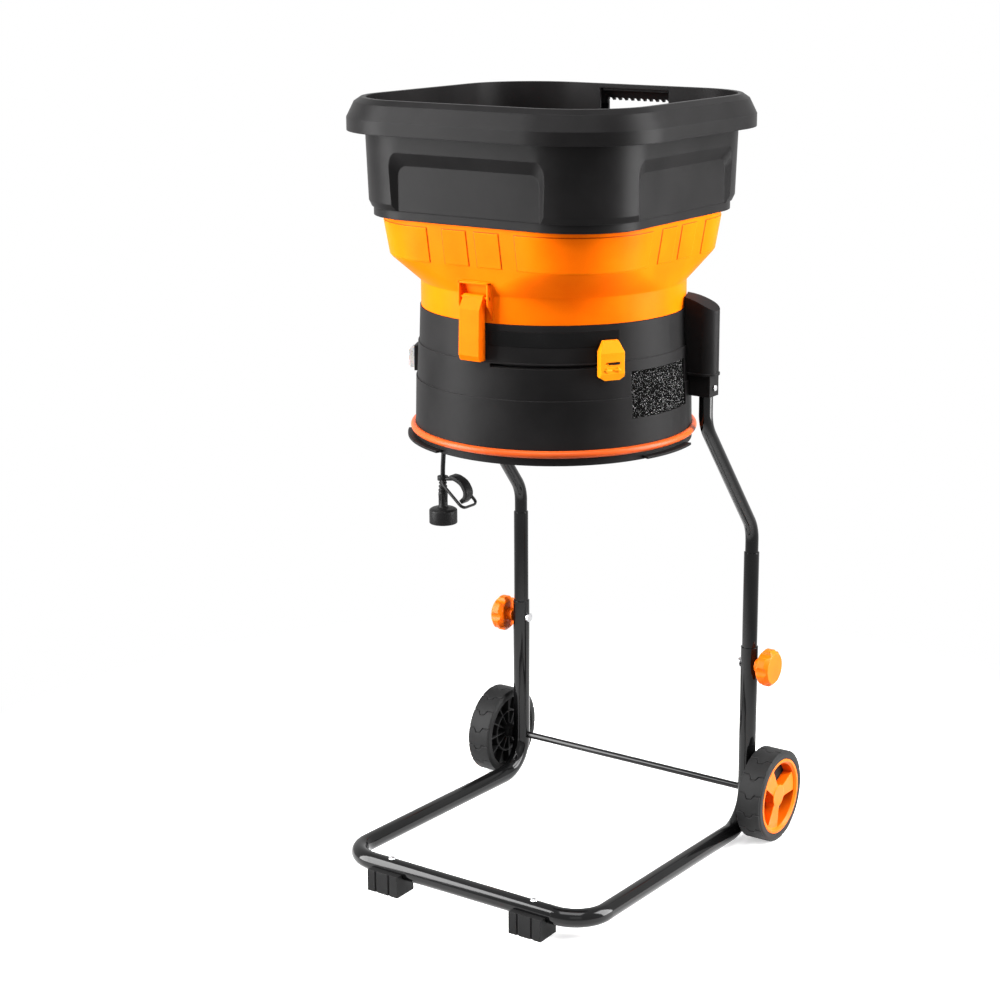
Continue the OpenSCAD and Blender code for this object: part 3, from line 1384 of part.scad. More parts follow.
// Points of the cord below the gland: sideways in shares of its diameter, down in shares of its length
cord_l = gland_low_z - relief_top_z;
cord_shares = [
    [0, 0, 0], [0, 0, 0.1], [0.1, 0, 0.2], [0.2, 0.1, 0.3], [0.3, 0.1, 0.4], [0.3, 0.1, 0.5],
    [0.3, 0.1, 0.6], [0.2, 0.1, 0.7], [0.1, 0, 0.8], [0, 0, 0.9], [0, 0, 1]
];
cord_points = [for (q = cord_shares) [q.x * lead_d, q.y * lead_d, -q.z * cord_l]];
cord_sides = 10;
module at_lead(z) {
    translate([lead_x, lead_y, z]) children();
}
module cord_gland() {
    color(black) machine() at_lead(gland_low_z) {
        cylinder(h = gland_h - fit, r1 = lead_d / 2 + 2 * fit, r2 = gland_r + gland_wall);
        translate([0, 0, gland_h - cut]) cylinder(h = duct_wall + cut, r = gland_r);
    }
}
// A tube along a list of points, with flat rings across Z
module swept_tube(points, r, sides) {
    last = len(points) - 1;
    corners = [for (p = points, k = [0 : sides - 1])
        p + [r * cos(k * 360 / sides), r * sin(k * 360 / sides), 0]];
    walls = [for (i = [0 : last - 1], k = [0 : sides - 1], half = [0, 1])
        let (a = i * sides + k, b = i * sides + (k + 1) % sides)
        half == 0 ? [a, a + sides, b] : [b, a + sides, b + sides]];
    top = [for (k = [1 : sides - 2]) [0, k, k + 1]];
    bottom = [for (k = [1 : sides - 2]) [last * sides, last * sides + k + 1, last * sides + k]];
    polyhedron(concat(corners), concat(walls, top, bottom));
}
module power_cord() {
    color(black) machine() at_lead(gland_low_z) swept_tube(cord_points, lead_d / 2, cord_sides);
}
relief_ribs = 4;
relief_r = plug_neck_d / 2;
module strain_relief() {
    rib_pitch = relief_h / relief_ribs;
    color(black) machine() at_lead(relief_low_z) {
        cylinder(h = relief_h, r1 = relief_r * relief_root_share, r2 = lead_d / 2 + fit);
        for (k = [0 : relief_ribs - 1]) translate([0, 0, k * rib_pitch])
            cylinder(h = rib_pitch / 2, r = relief_r * (1 - relief_fall_share * k));
    }
}
relief_root_share = 0.75;
relief_fall_share = 0.1;
shroud_wall = 3;
recess_h = 20;
shoulder_h = 4;
module plug_body() {
    color(black) machine() at_lead(plug_z) difference() {
        union() {
            cylinder(h = plug_h_shroud - shoulder_h, d = plug_d);
            translate([0, 0, plug_h_shroud - shoulder_h])
                cylinder(h = shoulder_h, r1 = plug_d / 2, r2 = plug_d / 2 - shoulder_h);
            translate([0, 0, plug_h_shroud - cut])
                cylinder(h = plug_neck_h + cut, r1 = plug_neck_d / 2 + shroud_wall, r2 = plug_neck_d / 2);
        }
        translate([0, 0, -cut]) cylinder(h = recess_h + cut, d = plug_d - 2 * shroud_wall);
    }
}
blade_w = 6.3;
blade_t = 1.5;
blade_x = 6.35;
blade_l = 16;
module plug_blades() {
    color(steel) machine() at_lead(plug_z + recess_h - blade_l) for (sx = [-1, 1])
        translate([sx * blade_x - blade_t / 2, -blade_w / 2, 0]) cube([blade_t, blade_w, blade_l]);
}
clip_h = 6;
clip_wall = 3;
clip_r = relief_r + fit;
hook_arc_r = 14;
hook_arm_l = 21;
hook_arm_share = 0.8;
module cord_hook() {
    arm_x = clip_r + clip_wall;
    arm_w = clip_h * hook_arm_share;
    color(black) machine() at_lead(relief_low_z + fit) {
        ring(clip_r, arm_x, clip_h);
        translate([clip_r + clip_wall / 2, -arm_w / 2, (clip_h - arm_w) / 2])
            cube([clip_wall / 2 + hook_arm_l, arm_w, arm_w]);
        translate([arm_x + hook_arm_l - clip_wall, 0, clip_h / 2 - hook_arc_r]) rotate([90, 0, 0])
            rotate([0, 0, -120]) rotate_extrude(angle = 210) translate([hook_arc_r, 0])
                square([clip_h, clip_h], center = true);
    }
}

lower_frame();
axle();
axle_spacers();
axle_nuts();
foot_left();
foot_right();
foot_screws();
clamp_bolts();
knob_left();
knob_right();
tyre_left();
tyre_right();
hub_left();
hub_right();
mid_tube_left();
mid_tube_right();
bent_tube_left();
bent_tube_right();
bracket_left();
bracket_right();
bracket_screws();
drum();
trim_ring();
bag_flange();
motor_deck();
deck_screws();
motor_housing();
motor_screws();
stator();
rotor_core();
shaft();
bearings();
cooling_fan();
line_head();
cutting_lines();
head_nut();
mulch_shutter();
mulch_tab();
intake_duct();
intake_foam();
wire_duct();
switch_bezel();
switch_rocker();
switch_boot();
funnel();
hopper();
latch_front();
latch_back();
latch_pins();
cord_gland();
power_cord();
strain_relief();
plug_body();
plug_blades();
cord_hook();
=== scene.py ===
import math

import bmesh
import bpy
import numpy as np
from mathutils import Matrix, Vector


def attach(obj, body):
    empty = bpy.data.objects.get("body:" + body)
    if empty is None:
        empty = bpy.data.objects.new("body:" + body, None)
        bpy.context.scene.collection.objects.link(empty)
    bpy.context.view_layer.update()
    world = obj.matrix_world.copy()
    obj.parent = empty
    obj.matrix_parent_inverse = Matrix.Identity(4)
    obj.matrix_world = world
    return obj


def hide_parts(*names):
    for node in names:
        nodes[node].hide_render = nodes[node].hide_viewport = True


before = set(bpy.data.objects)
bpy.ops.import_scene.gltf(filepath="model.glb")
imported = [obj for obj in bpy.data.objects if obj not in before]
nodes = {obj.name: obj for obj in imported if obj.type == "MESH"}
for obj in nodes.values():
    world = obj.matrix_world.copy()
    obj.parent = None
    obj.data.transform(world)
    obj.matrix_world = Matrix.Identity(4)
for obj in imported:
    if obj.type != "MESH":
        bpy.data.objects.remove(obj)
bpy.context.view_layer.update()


# Camera: stands to the right of the machine's front, a little above the hopper's rim, and looks slightly
# down. Its lens is shifted, so that the machine keeps its place in the picture
def placed(name, data):
    """A new object in the scene, at the origin."""
    made = bpy.data.objects.new(name, data)
    bpy.context.scene.collection.objects.link(made)
    return made


aim = Vector((0.0, -0.014, 0.5989))
azimuth = math.radians(33.25)
elevation = math.radians(13.73)
distance = 2.8956
sensor_mm = 36
picture_px = 1000
focal_px = 2101.8
middle_px = (553.83, 447.11)
camera_data = bpy.data.cameras.new("camera")
camera_data.sensor_width = sensor_mm
camera_data.lens = sensor_mm * focal_px / picture_px
camera_data.shift_x = (picture_px / 2 - middle_px[0]) / picture_px
camera_data.shift_y = (middle_px[1] - picture_px / 2) / picture_px
camera = placed("camera", camera_data)
toward_camera = Vector((math.cos(elevation) * math.sin(azimuth),
                        -math.cos(elevation) * math.cos(azimuth), math.sin(elevation)))
camera.location = aim + distance * toward_camera
camera.rotation_euler = toward_camera.to_track_quat("Z", "Y").to_euler()
bpy.context.scene.camera = camera
bpy.context.scene.view_settings.view_transform = "Standard"


# Studio: a white paper floor under two big soft boxes, one at each side, a lamp above and a weak fill in
# front. Paper and backdrop are white where they are seen, also mirrored or through something clear, and
# dim as a light
class Wire:
    """A socket in a node tree: sums, differences and products add Math nodes, node() adds any other."""

    def __init__(self, tree, socket):
        self.tree = tree
        self.socket = socket

    def node(self, kind, settings=None, sockets=None, out=0):
        """Adds a node. A socket is given a value, a wire, or a list of wires that it joins."""
        made = self.tree.nodes.new(kind)
        for key, value in (settings or {}).items():
            setattr(made, key, value)
        for key, value in (sockets or {}).items():
            for source in value if isinstance(value, list) else [value]:
                if isinstance(source, Wire):
                    source.into(made.inputs[key])
                else:
                    made.inputs[key].default_value = source
        return Wire(self.tree, made.outputs[out])

    def into(self, socket):
        self.tree.links.new(self.socket, socket)

    def maths(self, operation, *values):
        return self.node("ShaderNodeMath", {"operation": operation}, dict(enumerate(values)))

    def __add__(self, other):
        return self.maths("ADD", self, other)

    def __radd__(self, other):
        return self.maths("ADD", other, self)

    def __sub__(self, other):
        return self.maths("SUBTRACT", self, other)

    def __rsub__(self, other):
        return self.maths("SUBTRACT", other, self)

    def __mul__(self, other):
        return self.maths("MULTIPLY", self, other)

    def __rmul__(self, other):
        return self.maths("MULTIPLY", other, self)

    def step(self, low, high):
        """0 below low, 1 above high and a soft rise between them."""
        return self.node("ShaderNodeMapRange", {"interpolation_type": "SMOOTHSTEP"},
                         {"Value": self, "From Min": low, "From Max": high})

    def noise(self, scale, detail=2.0):
        return self.node("ShaderNodeTexNoise", {}, {"Vector": self, "Scale": scale, "Detail": detail})

    def blend(self, low, high):
        """A colour between two colours, with this value as the share of the second."""
        return self.node("ShaderNodeMix", {"data_type": "RGBA"}, {0: self, 6: low, 7: high}, out=2)


def coated(name, dark, light, roughness, spread, grain, depth, edge, **fixed):
    """A surface with cloudy colour, uneven gloss, a fine grain and painted highlights on its edges. grain is
    its size in metres, depth its height, edge the radius that edges look rounded to."""
    cloud_scale, cloud_detail, cloud_share = 14.0, 3.0, 0.7
    noise_mean, tone_from, tone_full = 0.5, 0.2, 0.8
    highlight_full, highlight_share, highlight_gain = 0.3, 0.7, 2.5
    material = bpy.data.materials.new(name)
    material.use_nodes = True
    tree = material.node_tree
    shader = tree.nodes["Principled BSDF"]
    place = Wire(tree, tree.nodes.new("ShaderNodeTexCoord").outputs["Object"])
    rounded = place.node("ShaderNodeBevel", {"samples": 4}, {"Radius": edge})
    flat = place.node("ShaderNodeNewGeometry", out="Normal")
    alike = place.node("ShaderNodeVectorMath", {"operation": "DOT_PRODUCT"}, {0: rounded, 1: flat}, "Value")
    # Painted highlight: where the rounded normal turns away from the flat one, the colour turns lighter
    edge_highlight = (1 - alike).step(0.0, highlight_full)
    cloud = place.noise(cloud_scale, cloud_detail)
    fine = place.noise(1 / grain)
    tone = (cloud * cloud_share + fine * (1 - cloud_share)).step(tone_from, tone_full)
    gloss = (cloud - noise_mean) * spread + (fine - noise_mean) * spread + roughness
    bump = place.node("ShaderNodeBump", {}, {"Height": fine, "Distance": depth, "Normal": rounded,
                                             "Strength": 1.0})
    # The painted highlight's colour: the light tone made brighter
    highlight_colour = [min(1, highlight_gain * part) for part in light]
    colour = (edge_highlight * highlight_share).blend(tone.blend((*dark, 1), (*light, 1)), (*highlight_colour, 1))
    colour.into(shader.inputs["Base Color"])
    gloss.into(shader.inputs["Roughness"])
    bump.into(shader.inputs["Normal"])
    for key, value in fixed.items():
        shader.inputs[key.replace("_", " ")].default_value = value
    return material


def seen_rays(tree):
    """1 for rays that show the studio, straight, mirrored or through something, and 0 for its light."""
    rays = tree.nodes.new("ShaderNodeLightPath").outputs
    straight, mirrored, through = (Wire(tree, rays[f"Is {way} Ray"]) for way in (
        "Camera", "Glossy", "Transmission"))
    return straight + mirrored + through


def opened(material):
    """A surface's shader, with wires for its object coordinates and its colour, to change it further."""
    tree = material.node_tree
    shader = tree.nodes["Principled BSDF"]
    place = Wire(tree, tree.nodes.new("ShaderNodeTexCoord").outputs["Object"])
    return shader, place, Wire(tree, shader.inputs["Base Color"].links[0].from_socket)


white, paper_dim, backdrop_dim = (1, 1, 1, 1), (0.1, 0.1, 0.1, 1), (0.07, 0.07, 0.072, 1)
floor_half, glow_from, glow_full = 9, 0.35, 1.1
floor_mesh = bpy.data.meshes.new("floor")
floor_mesh.from_pydata([(-floor_half, -floor_half, 0), (floor_half, -floor_half, 0),
                        (floor_half, floor_half, 0), (-floor_half, floor_half, 0)], [], [(0, 1, 2, 3)])
paper = coated("paper", (0.86, 0.86, 0.86), (0.9, 0.9, 0.9), roughness=0.8, spread=0.05,
               grain=0.004, depth=0.00002, edge=0.001, Emission_Strength=0.5)
paper_shader, paper_place, paper_tone = opened(paper)
looked_at = seen_rays(paper.node_tree)
looked_at.blend(paper_dim, white).into(paper_shader.inputs["Emission Color"])
looked_at.blend(paper_dim, paper_tone).into(paper_shader.inputs["Base Color"])
away = paper_place.node("ShaderNodeVectorMath", {"operation": "LENGTH"}, {0: paper_place}, "Value")
glow = paper_place.node("ShaderNodeEmission", {}, {"Color": white})
seen_paper = paper_place.node("ShaderNodeMixShader", {}, {
    0: away.step(glow_from, glow_full) * looked_at,
    1: Wire(paper.node_tree, paper_shader.outputs[0]), 2: glow})
seen_paper.into(paper.node_tree.nodes["Material Output"].inputs["Surface"])
floor_mesh.materials.append(paper)
placed("floor", floor_mesh)

world = bpy.data.worlds.new("studio")
world.use_nodes = True
bpy.context.scene.world = world
backdrop = world.node_tree.nodes["Background"]
backdrop.inputs["Strength"].default_value = 1.0
seen_rays(world.node_tree).blend(backdrop_dim, white).into(backdrop.inputs["Color"])

to_right = Vector((math.cos(azimuth), math.sin(azimuth), 0))
to_front = Vector((math.sin(azimuth), -math.cos(azimuth), 0))
lamp_aim = Vector((0, 0, 0.7))
for name, right, front, up, wide, high, power in (
        ("left_box", -2.1, 0.35, 1.2, 1.2, 2.4, 185), ("right_box", 2.1, 0.25, 1.2, 1.2, 2.4, 175),
        ("top_lamp", -0.2, 1.0, 3.0, 2.2, 1.6, 95), ("front_fill", 0.2, 3.2, 1.6, 1.6, 1.6, 9)):
    lamp_data = bpy.data.lights.new(name, "AREA")
    lamp_data.shape = "RECTANGLE"
    lamp_data.size = wide
    lamp_data.size_y = high
    lamp_data.energy = power
    lamp = placed(name, lamp_data)
    lamp.location = to_right * right + to_front * front + Vector((0, 0, up))
    lamp.rotation_euler = (lamp.location - lamp_aim).to_track_quat("Z", "Y").to_euler()


# Stand: one bent steel tube with posts, side runs and front bar, the telescoping legs and the cranked
# upper tubes, all in black gloss powder coat. The axle, a straight steel rod, has the same coat
def dress(material, *names):
    """Gives CAD pieces their finish."""
    for name in names:
        for slot in nodes[name].material_slots:
            slot.material = material


gloss_black = coated("black_gloss", (0.002, 0.002, 0.0021), (0.005, 0.005, 0.0052), roughness=0.1,
                     spread=0.05, grain=0.0016, depth=0.00001, edge=0.0008,
                     Specular_IOR_Level=0.14, Coat_Weight=0.12, Coat_Roughness=0.03)
dress(gloss_black, "lower_frame", "mid_tube_left", "mid_tube_right", "bent_tube_left", "bent_tube_right",
      "axle")

# Feet: two moulded blocks of black plastic, screwed up under the front bar to level the stand with its
# wheels. The spacers on the axle are of the same plastic
foot_black = coated("foot_black", (0.004, 0.004, 0.0041), (0.012, 0.012, 0.0122), roughness=0.48,
                    spread=0.15, grain=0.0009, depth=0.00006, edge=0.0012, Specular_IOR_Level=0.1)
dress(foot_black, "foot_left", "foot_right", "axle_spacers")

# Screws, bolts, nuts and plug blades: formed or stamped steel with a bright plating. The motor's shaft,
# bearings and iron have the same finish
steel = coated("bright_steel", (0.42, 0.42, 0.43), (0.66, 0.66, 0.67), roughness=0.24, spread=0.16,
               grain=0.0004, depth=0.00001, edge=0.0004, Metallic=1.0)
dress(steel, "axle_nuts", "foot_screws", "clamp_bolts", "bracket_screws", "deck_screws", "motor_screws",
      "plug_blades", "shaft", "bearings", "head_nut", "stator", "rotor_core")


# Wheels: each tyre is one black plastic moulding with a ribbed web and raised zig-zag tread blocks,
# and an orange three-spoke hub is pressed into its outer side. Both turn on the axle. The clamp knobs
# are of the hubs' plastic
def loft(rows):
    """Vertices and faces of a closed band over rings of equal length, the last joined to the first."""
    rings, count = len(rows), len(rows[0])
    faces = []
    for i in range(rings):
        ahead = (i + 1) % rings
        for k in range(count):
            beside = (k + 1) % count
            faces.append((i * count + k, i * count + beside, ahead * count + beside, ahead * count + k))
    return np.vstack(rows), faces


def eased(points, radius, steps=4):
    """The line through points with each corner drawn round, starting back from it by the radius."""
    spare = 2.2
    points = [np.array(p, float) for p in points]
    line = [points[0]]
    for before, corner, after in zip(points, points[1:], points[2:]):
        back, ahead = before - corner, after - corner
        reach = min(radius, np.linalg.norm(back) / spare, np.linalg.norm(ahead) / spare)
        start = corner + back * reach / np.linalg.norm(back)
        end = corner + ahead * reach / np.linalg.norm(ahead)
        for t in np.linspace(0, 1, steps + 1):
            line.append(start * (1 - t) ** 2 + corner * 2 * t * (1 - t) + end * t ** 2)
    return line + [points[-1]]


def slab(top, bottom):
    """Vertices and faces of a closed skin over two grids of points, each rows by columns."""
    rows, columns = top.shape[:2]
    size = rows * columns
    at = np.arange(size).reshape(rows, columns)
    faces = []
    for i in range(rows - 1):
        for k in range(columns - 1):
            upper = (at[i, k], at[i, k + 1], at[i + 1, k + 1], at[i + 1, k])
            faces.append(upper)
            faces.append(tuple(size + v for v in reversed(upper)))
    border = [*at[0, :-1], *at[:-1, -1], *at[-1, :0:-1], *at[:0:-1, 0]]
    for here, there in zip(border, border[1:] + border[:1]):
        faces.append((there, here, size + here, size + there))
    return np.vstack([top.reshape(-1, 3), bottom.reshape(-1, 3)]), faces


def shaped(name, parts, material):
    """One object from (vertices, faces) parts in metres, smooth but for its sharp edges."""
    weld = 1e-6
    sharp_angle = math.radians(35)
    mesh = bpy.data.meshes.new(name)
    vertices, faces = [], []
    for part_vertices, part_faces in parts:
        faces += [tuple(len(vertices) + int(i) for i in face) for face in part_faces]
        vertices += [tuple(v) for v in part_vertices]
    mesh.from_pydata(vertices, [], faces)
    whole = bmesh.new()
    whole.from_mesh(mesh)
    bmesh.ops.remove_doubles(whole, verts=whole.verts, dist=weld)
    bmesh.ops.recalc_face_normals(whole, faces=whole.faces)
    whole.to_mesh(mesh)
    whole.free()
    mesh.shade_smooth()
    mesh.set_sharp_from_angle(angle=sharp_angle)
    mesh.materials.append(material)
    return placed(name, mesh)


def grown(made, label, build, **sizes):
    """Replaces the piece's mesh by what a Geometry Nodes tree makes of it. sizes are the tree's named
    inputs, and build takes the wires of the mesh and of these and returns the wire of the result."""
    kinds = {int: "Int", float: "Float", tuple: "Vector", bpy.types.Material: "Material"}
    values = {**sizes, "Material": made.data.materials[0]}
    tree = bpy.data.node_groups.new(label, "GeometryNodeTree")
    tree.interface.new_socket("Geometry", in_out="INPUT", socket_type="NodeSocketGeometry")
    for key, value in values.items():
        tree.interface.new_socket(key, in_out="INPUT", socket_type="NodeSocket" + kinds[type(value)])
    tree.interface.new_socket("Geometry", in_out="OUTPUT", socket_type="NodeSocketGeometry")
    outputs = tree.nodes.new("NodeGroupInput").outputs
    given = {key: Wire(tree, outputs[key]) for key in ("Geometry", *values)}
    result = build(given)
    solid = result.node("GeometryNodeRealizeInstances", {}, {0: result})
    finish = solid.node("GeometryNodeSetMaterial", {}, {"Geometry": solid, "Material": given["Material"]})
    finish.into(tree.nodes.new("NodeGroupOutput").inputs[0])
    modifier = made.modifiers.new(label, "NODES")
    modifier.node_group = tree
    for socket in tree.interface.items_tree:
        if socket.in_out == "INPUT" and socket.name in values:
            modifier[socket.identifier] = values[socket.name]
    bpy.context.view_layer.update()
    mesh = bpy.data.meshes.new_from_object(made.evaluated_get(bpy.context.evaluated_depsgraph_get()))
    made.modifiers.clear()
    made.data = mesh
    return made


def copies_round(given):
    """Copies of a mesh drawn beside the X axis, turned round that axis in steps and set at a centre."""
    index = given["Step"].node("GeometryNodeInputIndex")
    angles = index.node("ShaderNodeCombineXYZ", {}, {"X": index * given["Step"]})
    points = index.node("GeometryNodePoints", {}, {"Count": given["Count"], "Position": given["Centre"]})
    return points.node("GeometryNodeInstanceOnPoints", {}, {
        "Points": points, "Instance": given["Geometry"], "Rotation": angles})


def fitted(made, body, slot, *replaced):
    """Puts a finished piece on its body, in the place of the CAD pieces named, which it hides. slot is not
    used.
    """
    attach(made, body)
    if replaced:
        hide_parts(*replaced)
    return made


tyre_black = coated("tyre_black", (0.006, 0.006, 0.0061), (0.018, 0.018, 0.0182), roughness=0.52,
                    spread=0.14, grain=0.0011, depth=0.00008, edge=0.0012, Specular_IOR_Level=0.09)
hub_orange = coated("hub_orange", (0.8, 0.105, 0.001), (0.93, 0.155, 0.002), roughness=0.36, spread=0.1,
                    grain=0.0009, depth=0.00002, edge=0.0012, Specular_IOR_Level=0.12)
wheel_y, wheel_r, wheel_w, wheel_in_x = 0.198, 0.067, 0.038, 0.2175
wheel_centre = (0.0, wheel_y, wheel_r)
groove, wheel_edge, ring_in_r, ring_edge_r, ring_mid_x = 0.0014, 0.0015, 0.0552, 0.063, 0.028
web_in_x, web_out_x, boss_out_x = 0.01596, 0.01996, 0.0258
axle_bore_r, boss_r, boss_foot_r = 0.00612, 0.011, 0.012
hoop_in_x, hoop_in_r, hoop_out_r, hoop_draft = 0.006, 0.0306, 0.0334, 0.0004
tyre_line = eased([
    (ring_mid_x, ring_in_r), (wheel_w, ring_in_r), (wheel_w, ring_edge_r),
    (wheel_w - wheel_edge, wheel_r - groove), (wheel_edge, wheel_r - groove), (0.0, ring_edge_r),
    (0.0, ring_in_r), (web_in_x, ring_in_r), (web_in_x, hoop_out_r + hoop_draft), (hoop_in_x, hoop_out_r),
    (hoop_in_x, hoop_in_r), (web_in_x, hoop_in_r - hoop_draft), (web_in_x, boss_foot_r), (0.0, boss_r),
    (0.0, axle_bore_r), (boss_out_x, axle_bore_r), (boss_out_x, boss_r), (web_out_x, boss_foot_r),
    (web_out_x, ring_in_r), (ring_mid_x, ring_in_r)], radius=0.0012, steps=3)
turns = np.linspace(0, 2 * math.pi, 96, endpoint=False)
tread_n, tread_edge, tread_drop, tread_t = 15, 0.0007, 0.0022, 0.004
tread_l = 2 * math.pi * wheel_r / tread_n - groove
tread_x = np.array([0.001, 0.0125, 0.0165, 0.0235, 0.0275, 0.037])
tread_zigzag = np.array([0.0, 0.0, 0.0075, 0.0075, 0.001, 0.001])
tread_shares = np.linspace(0.15, 0.85, 5)
tread_columns = [0.0, tread_edge, *tread_shares * tread_l, tread_l - tread_edge, tread_l]
tread_rows = np.array([tread_x[0], tread_x[0] + tread_edge, *tread_x[1:-1],
                       tread_x[-1] - tread_edge, tread_x[-1]])
tread_shift = np.interp(tread_rows, tread_x, tread_zigzag)
web_rib_n, web_rib_half = 12, 0.0008
web_rib_x, web_rib_r = (0.006, 0.018), (0.0115, 0.054)
for side, sign in (("left", -1), ("right", 1)):
    wheel = "wheel_" + side
    rings = [np.column_stack([np.full(turns.size, sign * (wheel_in_x + x)),
                              wheel_y - r * np.sin(turns), wheel_r + r * np.cos(turns)])
             for x, r in tyre_line]
    fitted(shaped("tyre_" + side, [loft(rings)], tyre_black), wheel, "wheel_black", "tyre_" + side)
    top = np.zeros((tread_rows.size, len(tread_columns), 3))
    low = top.copy()
    for i, x in enumerate(tread_rows):
        for k, u in enumerate(tread_columns):
            end = i in (0, tread_rows.size - 1)
            lowered = tread_drop * end + tread_edge * (end or k in (0, len(tread_columns) - 1))
            angle = (tread_shift[i] + u) / wheel_r
            for grid, r in ((top, wheel_r - lowered), (low, wheel_r - tread_t)):
                grid[i, k] = (sign * (wheel_in_x + x), -r * math.sin(angle), r * math.cos(angle))
    tread = grown(shaped("tread_" + side, [slab(top, low)], tyre_black), "tread_blocks", copies_round,
                  Count=tread_n, Step=2 * math.pi / tread_n, Centre=wheel_centre)
    fitted(tread, wheel, "wheel_black")
    rib_top = np.array([[(sign * (wheel_in_x + x), web_rib_half, r) for r in web_rib_r] for x in web_rib_x])
    rib_low = rib_top * (1, -1, 1)
    rib = grown(shaped("wheel_rib_" + side, [slab(rib_top, rib_low)], tyre_black), "web_ribs", copies_round,
                Count=web_rib_n, Step=2 * math.pi / web_rib_n, Centre=wheel_centre)
    fitted(rib, wheel, "wheel_black")
dress(hub_orange, "hub_left", "hub_right", "knob_left", "knob_right")

# Drum: a stepped shell of charcoal plastic with a fine moulded grain. Bag flange, brackets, switch bezel,
# ducts, deck and the plastic parts inside are of the same kind. An orange trim ring lies round its foot
charcoal = coated("charcoal", (0.0042, 0.004, 0.0041), (0.011, 0.0105, 0.0107), roughness=0.48,
                  spread=0.12, grain=0.0007, depth=0.00005, edge=0.0012, Specular_IOR_Level=0.055)
dress(charcoal, "drum", "bag_flange", "bracket_left", "bracket_right", "switch_bezel", "motor_deck",
      "motor_housing", "intake_duct", "wire_duct", "cooling_fan", "line_head", "mulch_shutter")
ring_orange = coated("ring_orange", (0.42, 0.05, 0.006), (0.55, 0.08, 0.01), roughness=0.34, spread=0.1,
                     grain=0.0009, depth=0.00002, edge=0.0008, Specular_IOR_Level=0.15)
dress(ring_orange, "trim_ring")

# Cutting lines: two lengths of whitish nylon line, held in the cutting head above the deck and swung
# round by the motor below it
nylon = coated("nylon", (0.6, 0.6, 0.58), (0.8, 0.8, 0.78), roughness=0.4, spread=0.1, grain=0.0005,
               depth=0.00002, edge=0.0003)
dress(nylon, "cutting_lines")

# Label strip: a thin strip of smooth black plastic, stuck on the drum's upper band. Its edges are eased
# down to the band, which flares a little towards its foot
label_black = coated("label_black", (0.003, 0.003, 0.0031), (0.008, 0.008, 0.0082), roughness=0.26,
                     spread=0.06, grain=0.0006, depth=0.00001, edge=0.0004, Specular_IOR_Level=0.05)
drum_y, drum_top_r, drum_top_z, top_band_h, top_band_flare = -0.014, 0.1807, 0.801, 0.049, 0.0018
label_low_z, label_top_z, label_t = 0.773, 0.793, 0.0007
label_edge, label_edge_t, label_sink = 0.0005, 0.0001, 0.0006
label_from, label_to, label_end, label_in = 5.6, 61.0, 0.15, 0.4
label_run = np.linspace(label_from + label_in, label_to - label_in, 40)
label_angles = np.radians([label_from, label_from + label_end, *label_run,
                           label_to - label_end, label_to])
label_levels = [label_low_z, label_low_z + label_edge, label_top_z - label_edge, label_top_z]
grids = np.zeros((2, len(label_levels), label_angles.size, 3))
for i, z in enumerate(label_levels):
    band_r = drum_top_r + (drum_top_z - z) / top_band_h * top_band_flare
    for k, angle in enumerate(label_angles):
        rim = i in (0, len(label_levels) - 1) or k in (0, label_angles.size - 1)
        for grid, lift in zip(grids, (label_edge_t if rim else label_t, -label_sink)):
            r = band_r + lift
            grid[i, k] = (r * math.sin(angle), drum_y - r * math.cos(angle), z)
fitted(shaped("label_strip", [slab(grids[0], grids[1])], label_black), "upper", "black_plastic")

# Intake foam: a block of open-cell filter foam pressed into the window in the drum's side. Its face
# leans out with the drum's flare. Torn cell walls stand out of it, and pale specks in its colour are painted
# glints
foam_black = coated("foam_black", (0.001, 0.001, 0.001), (0.003, 0.003, 0.003), roughness=0.75, spread=0.1,
                    grain=0.0006, depth=0.0002, edge=0.0004, Specular_IOR_Level=0.02)
# Painted highlight: pale grey specks where a fine noise is high stand for glints on the foam's cells
glint_scale, glint_from, glint_full, glint_grey = 900.0, 0.62, 0.68, (0.6, 0.6, 0.6, 1)
foam_shader, foam_place, foam_tone = opened(foam_black)
glint = foam_place.noise(glint_scale).step(glint_from, glint_full)
glint.blend(foam_tone, glint_grey).into(foam_shader.inputs["Base Color"])
foam_in_r, foam_out_r, foam_foot_r = 0.1724, 0.1822, 0.1857
foam_low_z, foam_top_z = 0.675, 0.737
foam_ragged, cell_r, cells_in, cells_per_m2 = 0.0012, 0.00085, 0.0016, 800000.0
cell_least, cell_most, cell_turn = (0.35, 0.35, 0.35), (1.3, 1.3, 1.3), (6.28, 6.28, 6.28)
foam_from, foam_to = 66.0, 103.0
foam_angles = np.radians(np.linspace(foam_from, foam_to, 48))
foam_levels = np.linspace(foam_low_z, foam_top_z, 26)
rough = np.random.default_rng(11)
grids = np.zeros((2, foam_levels.size, foam_angles.size, 3))
for i, z in enumerate(foam_levels):
    face_r = np.interp(z, (foam_low_z, foam_top_z), (foam_foot_r, foam_out_r))
    for k, angle in enumerate(foam_angles):
        inner = 0 < i < foam_levels.size - 1 and 0 < k < foam_angles.size - 1
        for grid, r in zip(grids, (face_r - foam_ragged * inner * rough.random(), foam_in_r)):
            grid[i, k] = (r * math.sin(angle), drum_y - r * math.cos(angle), z)


